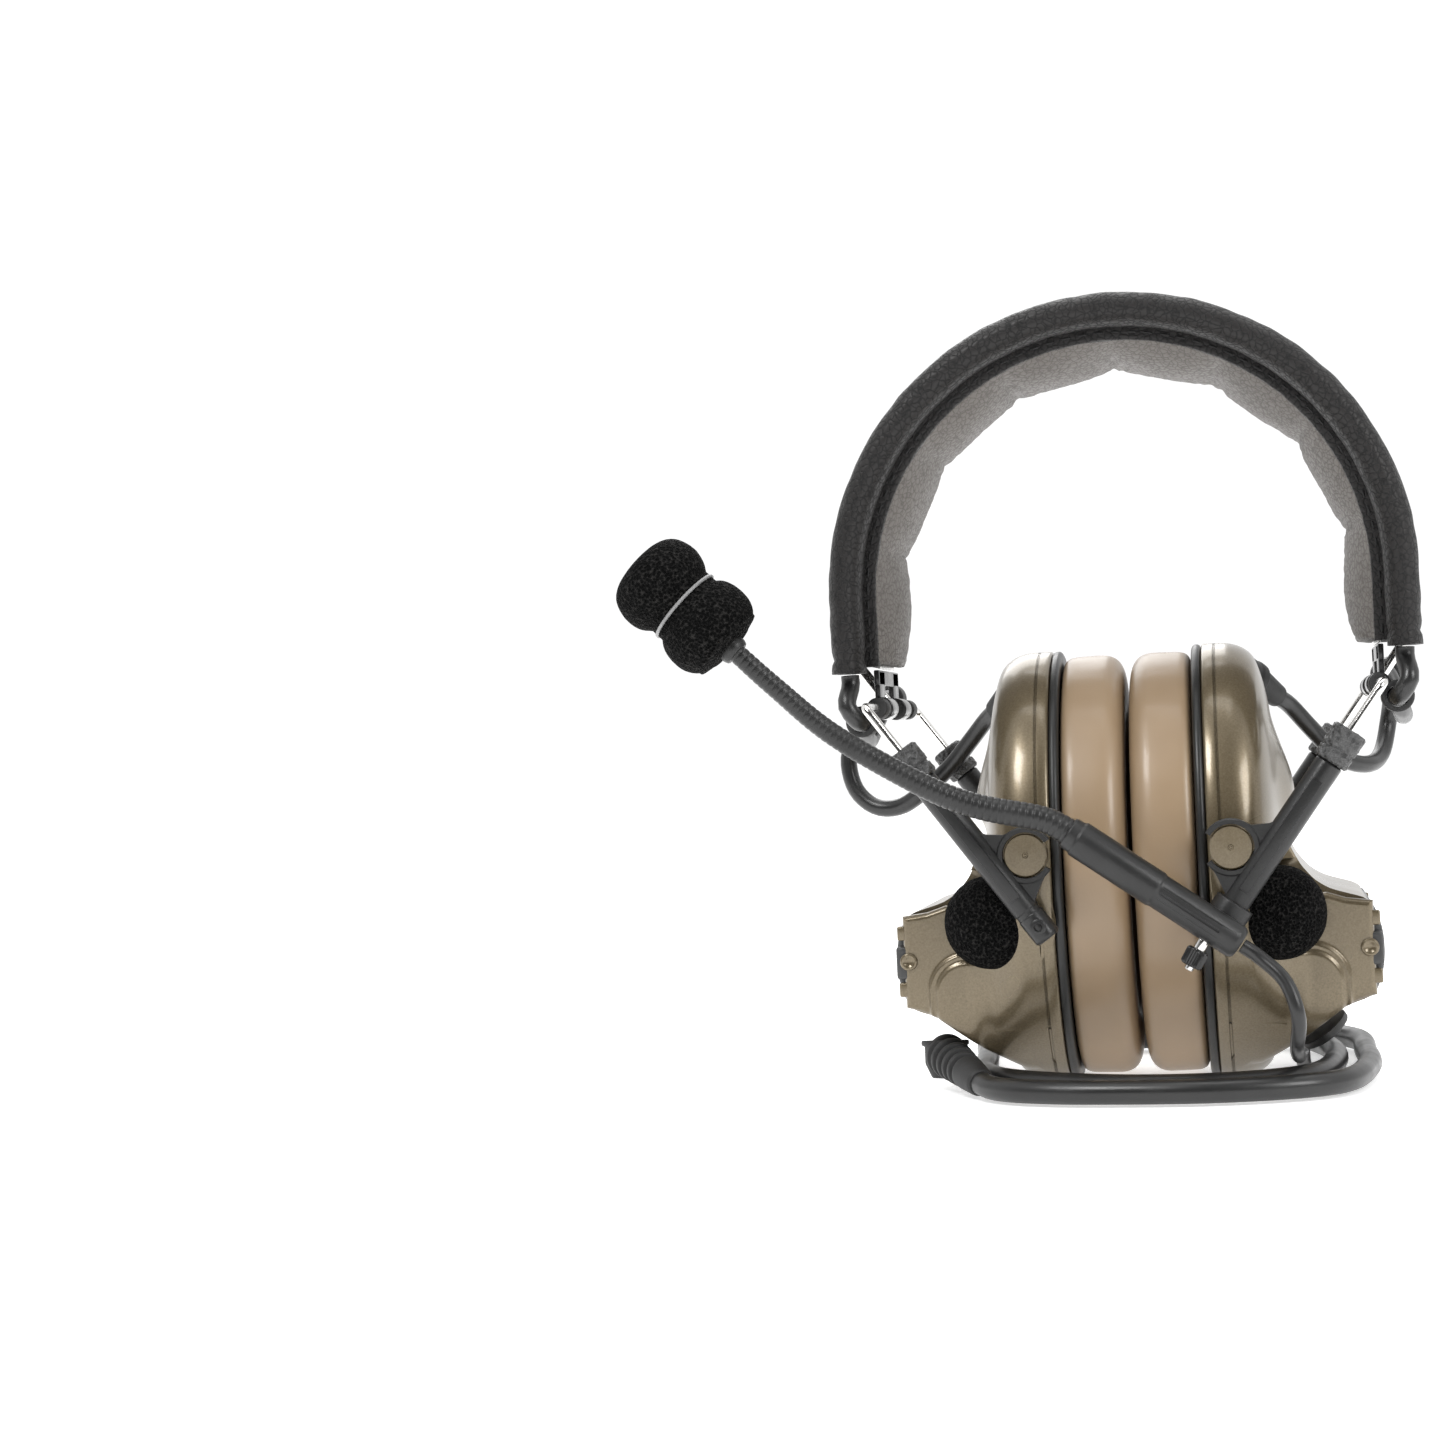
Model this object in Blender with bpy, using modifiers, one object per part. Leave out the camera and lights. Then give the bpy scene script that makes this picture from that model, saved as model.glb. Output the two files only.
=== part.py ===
"""Tactical radio headset: two hinged ear cups on wire yokes, a leather headband, a boom
microphone and its cords.  Metres, +Z up, +X the wearer's left, -Y the front.
The headset stands on the two flats under its cups."""

import math

import bmesh
import bpy
from mathutils import Matrix, Vector

MM = 0.001
GAP = 0.3  # mm between pieces that touch

# Driving sizes, in mm.  Everything on the right is the mirror of the left.
CUP_Z = 46.7  # centre of the cup outline above the floor
CUP_HALF_Y = 39.0
CUP_HALF_Z = 47.5
RIM_X = 16.2  # where the shell starts, outward of the base plate
DOME_X = 32.0  # crown of the dome
WALL = 2.0
CUSHION_IN, CUSHION_OUT = 0.5, 14.0
BOX_X, BOX_LOW, BOX_HIGH = 49.4, 17.0, 38.5  # battery box
BOX_FRONT, BOX_REAR = -28.5, 36.5
DOOR_THICK = 2.4
STUD = (21.0, 51.0)  # x, z of the cup's pivot axis
ARM_TILT = math.radians(36)
ARM_Y = 43.2
ARM_LOW, CAP_LOW, CAP_HIGH = -16.5, 25.5, 33.0  # along the arm from ARM_FOOT
ARM_R, CAP_R, WIRE_R = 2.9, 3.7, 1.0
ARM_FOOT = (26.7, 46.9)  # where the arm's axis passes the stud
YOKE_T = 45.0  # along the arm from ARM_FOOT to the yoke's pivot
BAND_Z = 107.0  # centre of the headband's arch
BAND_OUT, BAND_IN = 57.5, 48.5
CHANNEL_OUT, CHANNEL_IN = 62.0, 55.0
BAND_FRONT, SEAM_Y, BAND_REAR = -31.5, -19.5, 18.5
BAND_END, CHANNEL_END = 93.0, 91.0
JUMPER_R, MIC_CABLE_R, DOWNLEAD_R = 2.0, 1.5, 2.5
WINDSCREEN = (30.0, 36.5)  # x, z of the talk-through microphone
WINDSCREEN_R = 9.2

COLLAR_T = -14.0  # the boom's collar along the arm
HOLDER = (22.0, -50.2, 31.6), (-11.5, -51.8, 55.8)  # ends of the boom's holder tube
SCREW_AT, SCREW_DIR = (14.3, -50.5, 31.9), (-0.5, 0.0, -0.87)
MIC_DIR = Vector((-0.713, -0.01, 0.70)).normalized()
BOOT_ROOT = (25.0, 17.5, 88.0)
GLAND_ROOT = (-42.5, -19.5, 7.6)

ARM_DIR = Vector((math.sin(ARM_TILT), 0, math.cos(ARM_TILT)))

# Routes of the cords, in mm, each through the few points that its shape needs.
JUMPER_ROUTE = [
    (58.5, -25.5, 90.6), (58.5, -25.6, 88.2), (59.0, -28.8, 84.0), (56.8, -27.0, 80.5),
    (56.7, -16.6, 80.4), (58.2, -7.0, 77.6), (58.9, 3.0, 76.6), (58.4, 12.5, 80.4),
    (56.9, 20.0, 85.7), (56.7, 24.5, 86.0), (56.7, 30.6, 86.0), (58.0, 41.0, 88.2), (59.0, 51.0, 83.5),
    (58.0, 55.5, 75.5), (55.8, 50.8, 67.8), (52.0, 42.5, 65.5), (46.0, 36.5, 67.5),
    (40.0, 34.5, 74.0), (35.2, 31.1, 79.8), (32.5, 27.5, 82.0),
]
RIGHT_JUMPER_ROUTE = [(-x, y, z) for x, y, z in JUMPER_ROUTE[:11]] + [
    (-57.2, 34.5, 86.0), (-61.0, 39.8, 84.5), (-67.0, 43.8, 79.0), (-70.0, 44.5, 72.5), (-68.5, 43.5, 65.0),
    (-63.5, 42.0, 60.5), (-57.0, 40.0, 60.5), (-50.5, 37.0, 64.5), (-44.5, 36.0, 69.5),
    (-39.5, 34.0, 75.0), (-35.2, 31.1, 79.8), (-32.5, 27.5, 82.0),
]
MIC_CABLE_ROUTE = [
    (22.4, -50.2, 31.3), (25.8, -50.4, 28.8), (30.6, -53.0, 24.0), (32.8, -54.5, 17.0),
    (32.3, -50.0, 10.8), (32.6, -40.0, 7.6), (33.3, -27.5, 6.7), (33.8, -17.5, 3.0),
    (34.0, -6.0, 1.8), (34.0, 8.0, 1.8), (34.2, 20.0, 3.4), (34.8, 30.0, 7.2),
    (36.0, 39.5, 8.2), (36.9, 46.0, 9.6), (37.0, 47.5, 14.1),
]
DOWNLEAD_ROUTE = [
    (-33.0, -37.5, 3.2), (-30.0, -42.5, 2.7), (-23.0, -48.5, 2.7), (-9.0, -53.0, 2.7), (18.0, -54.5, 2.7),
    (40.0, -45.0, 2.7), (47.0, -20.0, 2.7), (47.5, 8.0, 2.7), (46.0, 34.0, 2.7),
    (32.0, 54.0, 2.7), (6.0, 62.0, 2.7), (-22.0, 60.0, 2.7), (-38.0, 46.0, 2.7),
    (-37.0, 20.0, 2.7), (-35.3, 0.0, 2.7), (-33.6, -18.0, 2.7), (-24.0, -33.0, 2.7),
    (-2.0, -44.5, 2.7), (20.0, -44.0, 2.7), (35.0, -33.0, 2.7), (40.4, -10.0, 2.7),
    (40.5, 12.0, 2.7), (36.5, 32.0, 2.7), (28.5, 44.0, 3.8), (21.5, 46.0, 5.1), (16.5, 46.0, 5.1),
]
GOOSENECK_ROUTE = [
    (-12.7, -51.9, 56.7), (-17.5, -52.3, 58.9), (-30.0, -53.5, 62.0), (-41.0, -54.5, 67.0),
    (-58.0, -56.5, 77.8), (-69.5, -58.5, 88.3), (-77.0, -60.0, 95.8),
]

COLOURS = {  # base colour, roughness, metallic
    "olive": ((0.165, 0.135, 0.092, 1), 0.34, 0.35),
    "tan": ((0.27, 0.2, 0.13, 1), 0.45, 0.0),
    "black": ((0.025, 0.024, 0.023, 1), 0.45, 0.0),
    "door": ((0.06, 0.059, 0.056, 1), 0.38, 0.2),
    "leather": ((0.042, 0.040, 0.038, 1), 0.5, 0.0),
    "lining": ((0.13, 0.125, 0.12, 1), 0.7, 0.0),
    "foam": ((0.022, 0.022, 0.023, 1), 0.95, 0.0),
    "rubber": ((0.03, 0.03, 0.031, 1), 0.6, 0.0),
    "steel": ((0.75, 0.74, 0.72, 1), 0.2, 1.0),
    "cell": ((0.45, 0.38, 0.2, 1), 0.35, 0.6),
    "board": ((0.03, 0.12, 0.06, 1), 0.5, 0.0),
}

for old in list(bpy.data.objects):
    bpy.data.objects.remove(old, do_unlink=True)
parts = bpy.data.collections.new("radio_headset")
cutters = bpy.data.collections.new("cutters")
bpy.context.scene.collection.children.link(parts)
bpy.context.scene.collection.children.link(cutters)
cutters.hide_render = True


def material_of(key):
    found = bpy.data.materials.get(key)
    if found:
        return found
    made = bpy.data.materials.new(key)
    made.use_nodes = True
    shader = made.node_tree.nodes["Principled BSDF"]
    colour, roughness, metallic = COLOURS[key]
    shader.inputs["Base Color"].default_value = colour
    shader.inputs["Roughness"].default_value = roughness
    shader.inputs["Metallic"].default_value = metallic
    return made


def on_arm(t, y=0.0):
    """The point t mm along the left arm's axis."""
    return Vector((ARM_FOOT[0], y, ARM_FOOT[1])) + t * ARM_DIR


def add(name, mesh, key, collection=parts):
    obj = bpy.data.objects.new(name, mesh)
    collection.objects.link(obj)
    if key:
        mesh.materials.clear()
        mesh.materials.append(material_of(key))
    return obj


def mesh_of(bm, name):
    bmesh.ops.recalc_face_normals(bm, faces=bm.faces)
    mesh = bpy.data.meshes.new(name)
    bmesh.ops.scale(bm, vec=Vector((MM, MM, MM)), verts=bm.verts)
    bm.to_mesh(mesh)
    bm.free()
    mesh.shade_smooth()
    mesh.set_sharp_from_angle(angle=math.radians(35))
    return mesh


def loft(name, rings, key=None, closed=False, collection=parts):
    """A skin through rings of equally many points, capped at both ends or closed on itself."""
    bm = bmesh.new()
    rows = [[bm.verts.new(p) for p in ring] for ring in rings]
    count = len(rows[0])
    pairs = list(zip(rows, rows[1:]))
    if closed:
        pairs.append((rows[-1], rows[0]))
    for low, high in pairs:
        for i in range(count):
            j = (i + 1) % count
            bm.faces.new((low[i], low[j], high[j], high[i]))
    if not closed:
        bm.faces.new(rows[0])
        bm.faces.new(rows[-1])
    return add(name, mesh_of(bm, name), key, collection)


def lathe(name, start, direction, profile, key=None, sides=20, collection=parts):
    """A turned solid: profile is (distance along the axis, radius) pairs, with flat ends."""
    half = bpy.data.meshes.new(name)
    points = [(radius * MM, 0, along * MM) for along, radius in profile]
    half.from_pydata(points, [(i, i + 1) for i in range(len(points) - 1)], [])
    guide = bpy.data.objects.new(name + "_guide", half)
    cutters.objects.link(guide)
    screw = guide.modifiers.new("turn", "SCREW")
    screw.steps = screw.render_steps = sides
    screw.use_merge_vertices = True
    screw.merge_threshold = 1e-6
    graph = bpy.context.evaluated_depsgraph_get()
    mesh = bpy.data.meshes.new_from_object(guide.evaluated_get(graph))
    bpy.data.objects.remove(guide, do_unlink=True)
    axis = Vector(direction).normalized()
    side = axis.orthogonal().normalized()
    turn = Matrix((side, axis.cross(side), axis)).transposed().to_4x4()
    bm = bmesh.new()
    bm.from_mesh(mesh)
    bmesh.ops.remove_doubles(bm, verts=bm.verts, dist=1e-6)
    bmesh.ops.holes_fill(bm, edges=bm.edges)
    bmesh.ops.transform(bm, matrix=Matrix.Translation(Vector(start) * MM) @ turn, verts=bm.verts)
    bmesh.ops.recalc_face_normals(bm, faces=bm.faces)
    bm.to_mesh(mesh)
    bm.free()
    mesh.name = name
    mesh.shade_smooth()
    mesh.set_sharp_from_angle(angle=math.radians(35))
    return add(name, mesh, key, collection)


def block(name, low, high, key=None, bevel=0.0, collection=parts, segments=2):
    bm = bmesh.new()
    bmesh.ops.create_cube(bm, size=1.0)
    size = Vector(high) - Vector(low)
    bmesh.ops.scale(bm, vec=size, verts=bm.verts)
    bmesh.ops.translate(bm, vec=(Vector(low) + Vector(high)) / 2, verts=bm.verts)
    if bevel:
        bmesh.ops.bevel(bm, geom=bm.edges[:], offset=bevel, segments=segments, affect="EDGES", profile=0.5)
    return add(name, mesh_of(bm, name), key, collection)


def smooth_route(points, step):
    """Evenly spaced points on the smooth curve through the route's points."""
    points = [Vector(p) for p in points]
    dense = []
    for i in range(len(points) - 1):
        p1, p2 = points[i], points[i + 1]
        p0 = points[i - 1] if i else 2 * p1 - p2
        p3 = points[i + 2] if i + 2 < len(points) else 2 * p2 - p1
        for k in range(20):
            t = k / 20
            bend = 2 * p0 - 5 * p1 + 4 * p2 - p3
            twist = 3 * p1 - 3 * p2 + p3 - p0
            dense.append(0.5 * (2 * p1 + (p2 - p0) * t + bend * t * t + twist * t ** 3))
    dense.append(points[-1])
    total = sum((b - a).length for a, b in zip(dense, dense[1:]))
    count = max(2, round(total / step))
    even, walked, target = [dense[0], dense[0] + 1.2 * (dense[1] - dense[0]).normalized()], 0.0, total / count
    for a, b in zip(dense, dense[1:]):
        length = (b - a).length
        while walked + length >= target and len(even) <= count:
            even.append(a + (b - a) * ((target - walked) / length))
            target += total / count
        walked += length
    return even + [dense[-1] + 1.2 * (dense[-2] - dense[-1]).normalized(), dense[-1]]


def rounded_path(points, radius, steps=4):
    """A path of straight runs whose corners are arcs of about this radius."""
    points = [Vector(p) for p in points]
    path = [points[0]]
    for before, corner, after in zip(points, points[1:], points[2:]):
        a, b = (before - corner).normalized(), (after - corner).normalized()
        cut = min(radius, 0.49 * min((before - corner).length, (after - corner).length))
        for k in range(steps + 1):
            t = k / steps
            path.append(corner + a * cut * (1 - t) ** 2 + b * cut * t ** 2)
    return path + [points[-1]]


def tube(name, points, radius, key, resolution=2):
    """A round bar along the points, welded shut so that it is one closed body."""
    curve = bpy.data.curves.new(name, "CURVE")
    curve.dimensions = "3D"
    curve.bevel_depth = radius * MM
    curve.bevel_resolution = resolution
    curve.use_fill_caps = True
    spline = curve.splines.new("POLY")
    spline.points.add(len(points) - 1)
    for spot, point in zip(spline.points, points):
        spot.co = (*(Vector(point) * MM), 1)
    guide = bpy.data.objects.new(name + "_guide", curve)
    cutters.objects.link(guide)
    graph = bpy.context.evaluated_depsgraph_get()
    mesh = bpy.data.meshes.new_from_object(guide.evaluated_get(graph))
    bpy.data.objects.remove(guide, do_unlink=True)
    bm = bmesh.new()
    bm.from_mesh(mesh)
    bmesh.ops.remove_doubles(bm, verts=bm.verts, dist=1e-6)
    bmesh.ops.recalc_face_normals(bm, faces=bm.faces)
    bm.to_mesh(mesh)
    bm.free()
    mesh.name = name
    mesh.shade_smooth()
    return add(name, mesh, key)


def combine(target, tool, how):
    """Cuts or joins target with tool, applies it, and removes the tool."""
    modifier = target.modifiers.new(how, "BOOLEAN")
    modifier.operation = how
    modifier.solver = "EXACT"
    modifier.object = tool
    graph = bpy.context.evaluated_depsgraph_get()
    mesh = bpy.data.meshes.new_from_object(target.evaluated_get(graph))
    target.modifiers.clear()
    target.data = mesh
    bpy.data.objects.remove(tool, do_unlink=True)
    mesh.shade_smooth()
    mesh.set_sharp_from_angle(angle=math.radians(35))
    return target


def mirrored(obj, name):
    """The right-hand copy of a left-hand piece."""
    mesh = obj.data.copy()
    mesh.transform(Matrix.Scale(-1, 4, Vector((1, 0, 0))))
    mesh.flip_normals()
    return add(name, mesh, None)


def outline(x, half_y, half_z, centre_z=CUP_Z, sides=28):
    """One ring of the cup's egg-like outline at x."""
    ring = []
    for i in range(sides):
        a = 2 * math.pi * i / sides
        ring.append((x, half_y * math.cos(a), centre_z + half_z * math.sin(a)))
    return ring


def dome_rings(inset):
    """Outer skin of the cup, or its hollow when inset by the wall."""
    sections = [
        (RIM_X, 39.0, 47.5, 0.0), (22.6, 39.0, 47.5, 0.0), (25.4, 38.2, 46.7, 0.0),
        (27.6, 36.3, 44.8, 0.2), (29.2, 33.0, 41.3, 1.0), (30.6, 27.0, 33.5, 4.0),
        (31.6, 18.0, 21.0, 10.0), (DOME_X, 8.0, 9.0, 15.0),
    ]
    return [
        outline(x - inset, max(half_y - inset, 3.0), max(half_z - inset, 3.0), CUP_Z + up)
        for x, half_y, half_z, up in sections
    ]


def cup_shell(name):
    """Moulded shell: dome, battery box with its compartment, recess for the windscreen."""
    shell = loft(name, dome_rings(0.0), "olive")
    profile = [(20, 6), (26, 0.6), (BOX_X, BOX_LOW), (BOX_X, BOX_HIGH), (45, 41.5), (38, 45.5),
               (33, 51), (20, 54)]
    box = loft("box", [[(x, y, z) for x, z in profile] for y in (BOX_FRONT, BOX_REAR)],
               collection=cutters)
    trim = loft("trim", [outline(x, CUP_HALF_Y - 0.6, CUP_HALF_Z - 0.3) for x in (15, 60)],
                collection=cutters)
    combine(box, trim, "INTERSECT")
    combine(shell, box, "UNION")
    hollow = loft("hollow", [outline(RIM_X - 3, CUP_HALF_Y - WALL, CUP_HALF_Z - WALL)] + dome_rings(WALL),
                  collection=cutters)
    x, z = WINDSCREEN
    keep = lathe("keep", (x, -60, z), (0, 1, 0), [(0, 12.6), (38.0, 12.6)], collection=cutters)
    combine(hollow, keep, "DIFFERENCE")
    combine(shell, hollow, "DIFFERENCE")
    recess = lathe("recess", (x, -60, z), (0, 1, 0), [(0, 10.4), (36.0, 10.4)], collection=cutters)
    combine(shell, recess, "DIFFERENCE")
    pocket = block("pocket", (32.2, BOX_FRONT + 8.5, BOX_LOW + 1.4), (60, BOX_REAR - 5.5, BOX_HIGH - 0.9),
                   collection=cutters)
    combine(shell, pocket, "DIFFERENCE")
    floor = block("floor", (0, -40, -20), (70, 40, 0.0), collection=cutters)
    combine(shell, floor, "DIFFERENCE")
    return shell


def ring_plate(name, x0, x1, key, half_y, half_z, hole_y, hole_z):
    """An oval plate with an oval opening."""
    plate = loft(name, [outline(x0, half_y, half_z), outline(x1, half_y, half_z)], key)
    hole = loft("hole", [outline(x, hole_y, hole_z, sides=28) for x in (x0 - 5, x1 + 5)],
                collection=cutters)
    combine(plate, hole, "DIFFERENCE")
    floor = block("floor", (-5, -40, -20), (70, 40, 0.05), collection=cutters)
    return combine(plate, floor, "DIFFERENCE")


def cushion(name):
    """Soft ring: a rounded section carried round the cup's outline."""
    middle_x, half_x = (CUSHION_IN + CUSHION_OUT) / 2, (CUSHION_OUT - CUSHION_IN) / 2
    outer, inner, power = (38.4, 46.0), (21.5, 29.5), 0.62
    rings = []
    for k in range(10):
        a = 2 * math.pi * k / 10
        across = math.copysign(abs(math.cos(a)) ** power, math.cos(a)) / 2 + 0.5
        x = middle_x + half_x * math.copysign(abs(math.sin(a)) ** power, math.sin(a))
        half_y = inner[0] + (outer[0] - inner[0]) * across
        half_z = inner[1] + (outer[1] - inner[1]) * across
        rings.append(outline(x, half_y, half_z, sides=28))
    return loft(name, rings, "tan", closed=True)


def swept(name, section, key, end_z, steps=18, collection=parts):
    """A section of (radius, y) points carried over the headband's arch and down both sides."""
    rings = [[(r, y, end_z) for r, y in section]]
    for i in range(steps + 1):
        a = math.pi * i / steps
        rings.append([(r * math.cos(a), y, BAND_Z + r * math.sin(a)) for r, y in section])
    rings.append([(-r, y, end_z) for r, y in section])
    return loft(name, rings, key, collection=collection)


def headband():
    leather_in = 54.5
    strap = [(leather_in, SEAM_Y - 2), (leather_in, BAND_REAR - 0.8), (leather_in + 0.8, BAND_REAR),
             (BAND_OUT - 0.8, BAND_REAR), (BAND_OUT, BAND_REAR - 0.8), (BAND_OUT, SEAM_Y - 2)]
    sleeve = swept("headband_sleeve", strap, "leather", BAND_END)
    middle = (CHANNEL_OUT + CHANNEL_IN) / 2
    half_r, half_y = (CHANNEL_OUT - CHANNEL_IN) / 2, (SEAM_Y - BAND_FRONT) / 2
    centre_y = (SEAM_Y + BAND_FRONT) / 2
    angles = [2 * math.pi * (i + 0.5) / 10 for i in range(10)]
    channel = [(middle + half_r * math.cos(a), centre_y + half_y * math.sin(a)) for a in angles]
    combine(sleeve, swept("channel", channel, None, CHANNEL_END, collection=cutters), "UNION")
    bore = [(middle + 2.35 * math.cos(a), centre_y + 2.35 * math.sin(a)) for a in angles]
    combine(sleeve, swept("bore", bore, None, CHANNEL_END - 5, collection=cutters), "DIFFERENCE")
    wire = [(middle + JUMPER_R * math.cos(a), centre_y + JUMPER_R * math.sin(a)) for a in angles[::2]]
    swept("headband_cable", wire, "rubber", CHANNEL_END)
    strip = [(53.7, -12), (53.7, 12), (54.2, 12), (54.2, -12)]
    swept("headband_spring", strip, "steel", BAND_END - 0.8)
    pad = [(BAND_IN + 0.8, SEAM_Y + 0.5), (BAND_IN, SEAM_Y + 1.6), (BAND_IN, BAND_REAR - 1.2),
           (BAND_IN + 0.8, BAND_REAR - 0.3), (53.4, BAND_REAR - 0.3), (53.4, SEAM_Y + 0.5)]
    swept("headband_foam", pad, "lining", BAND_END)


def yoke(side_name):
    """Bearing under the headband, spring-wire yoke and its two cable clips."""
    pivot = on_arm(YOKE_T)
    low, high = (53.4, -16.5, pivot.z), (54.6, 16.5, BAND_END - 1.2)
    bearing = block(side_name + "_yoke_bearing", low, high, "black")
    gap = block("gap", (50, -6.5, pivot.z - 5), (60, 6.5, 88.3), collection=cutters)
    combine(bearing, gap, "DIFFERENCE")
    for low in (-16.5, 6.5):
        barrel = lathe("barrel", (pivot.x, low, pivot.z), (0, 1, 0), [(0, 2.5), (10, 2.5)], sides=12,
                       collection=cutters)
        combine(bearing, barrel, "UNION")
    bore = lathe("bore", (pivot.x, -30, pivot.z), (0, 1, 0), [(0, WIRE_R + 0.12), (60, WIRE_R + 0.15)],
                 sides=10, collection=cutters)
    combine(bearing, bore, "DIFFERENCE")
    leg = [on_arm(3.0, -ARM_Y), on_arm(YOKE_T, -ARM_Y), on_arm(YOKE_T, -4.2), Vector((61.0, -4.2, 94.2)),
           Vector((61.0, -4.2, 98.4))]
    other = [Vector((p.x, -p.y, p.z)) for p in reversed(leg)]
    tube(side_name + "_yoke_wire", rounded_path(leg + other, 2.2, steps=3), WIRE_R, "steel", resolution=1)
    for where, low, offset in (("front", -24.6, (3.6, -2.8)), ("rear", 22.6, (3.5, 2.7))):
        x, z = pivot.x + offset[0], pivot.z + offset[1]
        clip = lathe(f"{side_name}_{where}_clip", (pivot.x, low, pivot.z), (0, 1, 0), [(0, 2.3), (7, 2.3)],
                     "black", sides=12)
        sleeve = lathe("sleeve", (x, low, z), (0, 1, 0), [(0, 3.4), (7, 3.4)], sides=14, collection=cutters)
        combine(clip, sleeve, "UNION")
        for centre_x, centre_z, radius in ((pivot.x, pivot.z, WIRE_R + 0.12), (x, z, JUMPER_R + 0.75)):
            hole = lathe("hole", (centre_x, low - 5, centre_z), (0, 1, 0), [(0, radius), (17, radius)],
                         sides=10, collection=cutters)
            combine(clip, hole, "DIFFERENCE")
        combine(clip, block("slit", (x, low - 1, z - 0.4), (x + 9, low + 8, z + 0.4),
                            collection=cutters), "DIFFERENCE")


def arm(name, sign):
    """Stirrup arm: bored tube with a knurled cap and the C-clip that holds the stud."""
    y = sign * ARM_Y
    profile = [(0, 2.2), (0.8, ARM_R), (CAP_LOW - ARM_LOW, ARM_R), (CAP_LOW - ARM_LOW, CAP_R - 0.4),
               (CAP_LOW - ARM_LOW + 0.5, CAP_R), (CAP_HIGH - ARM_LOW - 0.5, CAP_R),
               (CAP_HIGH - ARM_LOW, CAP_R - 0.5)]
    bar = lathe(name, on_arm(ARM_LOW, y), ARM_DIR, profile, "black", sides=12)
    clip = lathe("clip", (STUD[0], y - 1.6, STUD[1]), (0, 1, 0), [(0, 6.0), (3.2, 6.0)], sides=18,
                 collection=cutters)
    combine(bar, clip, "UNION")
    hole = lathe("hole", (STUD[0], y - 5, STUD[1]), (0, 1, 0), [(0, 4.8), (10, 4.8)], sides=18,
                 collection=cutters)
    combine(bar, hole, "DIFFERENCE")
    mouth = block("mouth", (STUD[0] - 9, y - 5, STUD[1] - 2.6), (STUD[0], y + 5, STUD[1] + 2.6),
                  collection=cutters)
    combine(bar, mouth, "DIFFERENCE")
    bore = lathe("bore", on_arm(-9.5, y), ARM_DIR, [(0, WIRE_R + 0.35), (60, WIRE_R + 0.35)], sides=8,
                 collection=cutters)
    return combine(bar, bore, "DIFFERENCE")


def windscreen(name, start, direction, length, radius, bore):
    """Foam barrel with rounded ends, bored from behind for its microphone."""
    ends = [(0, 0.62), (0.06, 0.82), (0.2, 0.98), (0.45, 1.0), (0.75, 0.98), (0.92, 0.8), (1.0, 0.52)]
    foam = lathe(name, start, direction, [(length * t, radius * r) for t, r in ends], "foam", sides=16)
    axis = Vector(direction).normalized()
    cut = lathe("cut", Vector(start) - 5 * axis, axis, [(0, bore), (5 + 0.62 * length, bore)], sides=14,
                collection=cutters)
    return combine(foam, cut, "DIFFERENCE")


def battery_door(name):
    """Cover plate with lugs at both ends, standing on the box's outer face."""
    low_y, high_y = BOX_FRONT + 3.0, BOX_REAR - 2.4
    plate = block(name, (BOX_X + GAP, low_y, BOX_LOW + 0.6), (BOX_X + DOOR_THICK, high_y, BOX_HIGH - 0.6),
                  "door", bevel=0.7, segments=1)
    for start, end in ((low_y - 0.8, low_y + 2), (high_y - 2, high_y + 0.8)):
        lug = block("lug", (BOX_X + GAP, start, 24.5), (BOX_X + DOOR_THICK - 0.5, end, 31.0),
                    collection=cutters)
        combine(plate, lug, "UNION")
    slot = block("slot", (BOX_X + DOOR_THICK - 0.6, -5.5, 26.2), (BOX_X + 9, 12.7, 29.2), collection=cutters)
    return combine(plate, slot, "DIFFERENCE")


def cell(name, x, z):
    """AAA cell: 44.5 mm long with its pip, 10.5 mm across."""
    return lathe(name, (x, -18.6, z), (0, 1, 0), [(0, 5.15), (43.6, 5.15), (43.6, 1.8), (44.4, 1.8)],
                 "cell", sides=16)


def cup(side_name):
    cup_shell(side_name + "_cup_shell")
    base = ring_plate(side_name + "_base_plate", CUSHION_OUT + GAP, RIM_X - GAP, "black", 39.2, 46.9, 3, 3)
    for i in range(5):
        a = 2 * math.pi * i / 5
        hole = lathe("hole", (10, 8.5 * math.cos(a), CUP_Z + 8.5 * math.sin(a)), (1, 0, 0),
                     [(0, 2.4), (8, 2.4)], sides=6, collection=cutters)
        combine(base, hole, "DIFFERENCE")
    cushion(side_name + "_ear_cushion")
    lathe(side_name + "_speaker", (RIM_X, 0, CUP_Z), (1, 0, 0), [(0, 14), (2.4, 14), (4.4, 9), (6.4, 9)],
          "black", sides=24)
    block(side_name + "_circuit_board", (23.2, -16, CUP_Z - 2), (24.6, 16, CUP_Z + 26), "board")
    block(side_name + "_foam_liner", (17.0, -20, 66.5), (22.8, 20, 80.0), "foam", bevel=1.5, segments=1)
    battery_door(side_name + "_battery_door")
    cell(side_name + "_upper_cell", 44.1, 32.2)
    cell(side_name + "_lower_cell", 37.8, 23.8)
    for where, sign in (("front", -1), ("rear", 1)):
        lathe(f"{side_name}_{where}_stud", (STUD[0], sign * 39.3, STUD[1]), (0, sign, 0),
              [(0, 4.5), (5.2, 4.5), (5.6, 4.1)], "olive", sides=18)
    x, z = WINDSCREEN
    windscreen(side_name + "_windscreen", (x, -24.6, z), (0, -1, 0), 14.5, WINDSCREEN_R, 3.6)
    lathe(side_name + "_talk_through_mic", (x, -24.3, z), (0, -1, 0), [(0, 3.2), (8.2, 3.2)], "black",
          sides=14)
    boot(side_name + "_jumper_boot")


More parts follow.
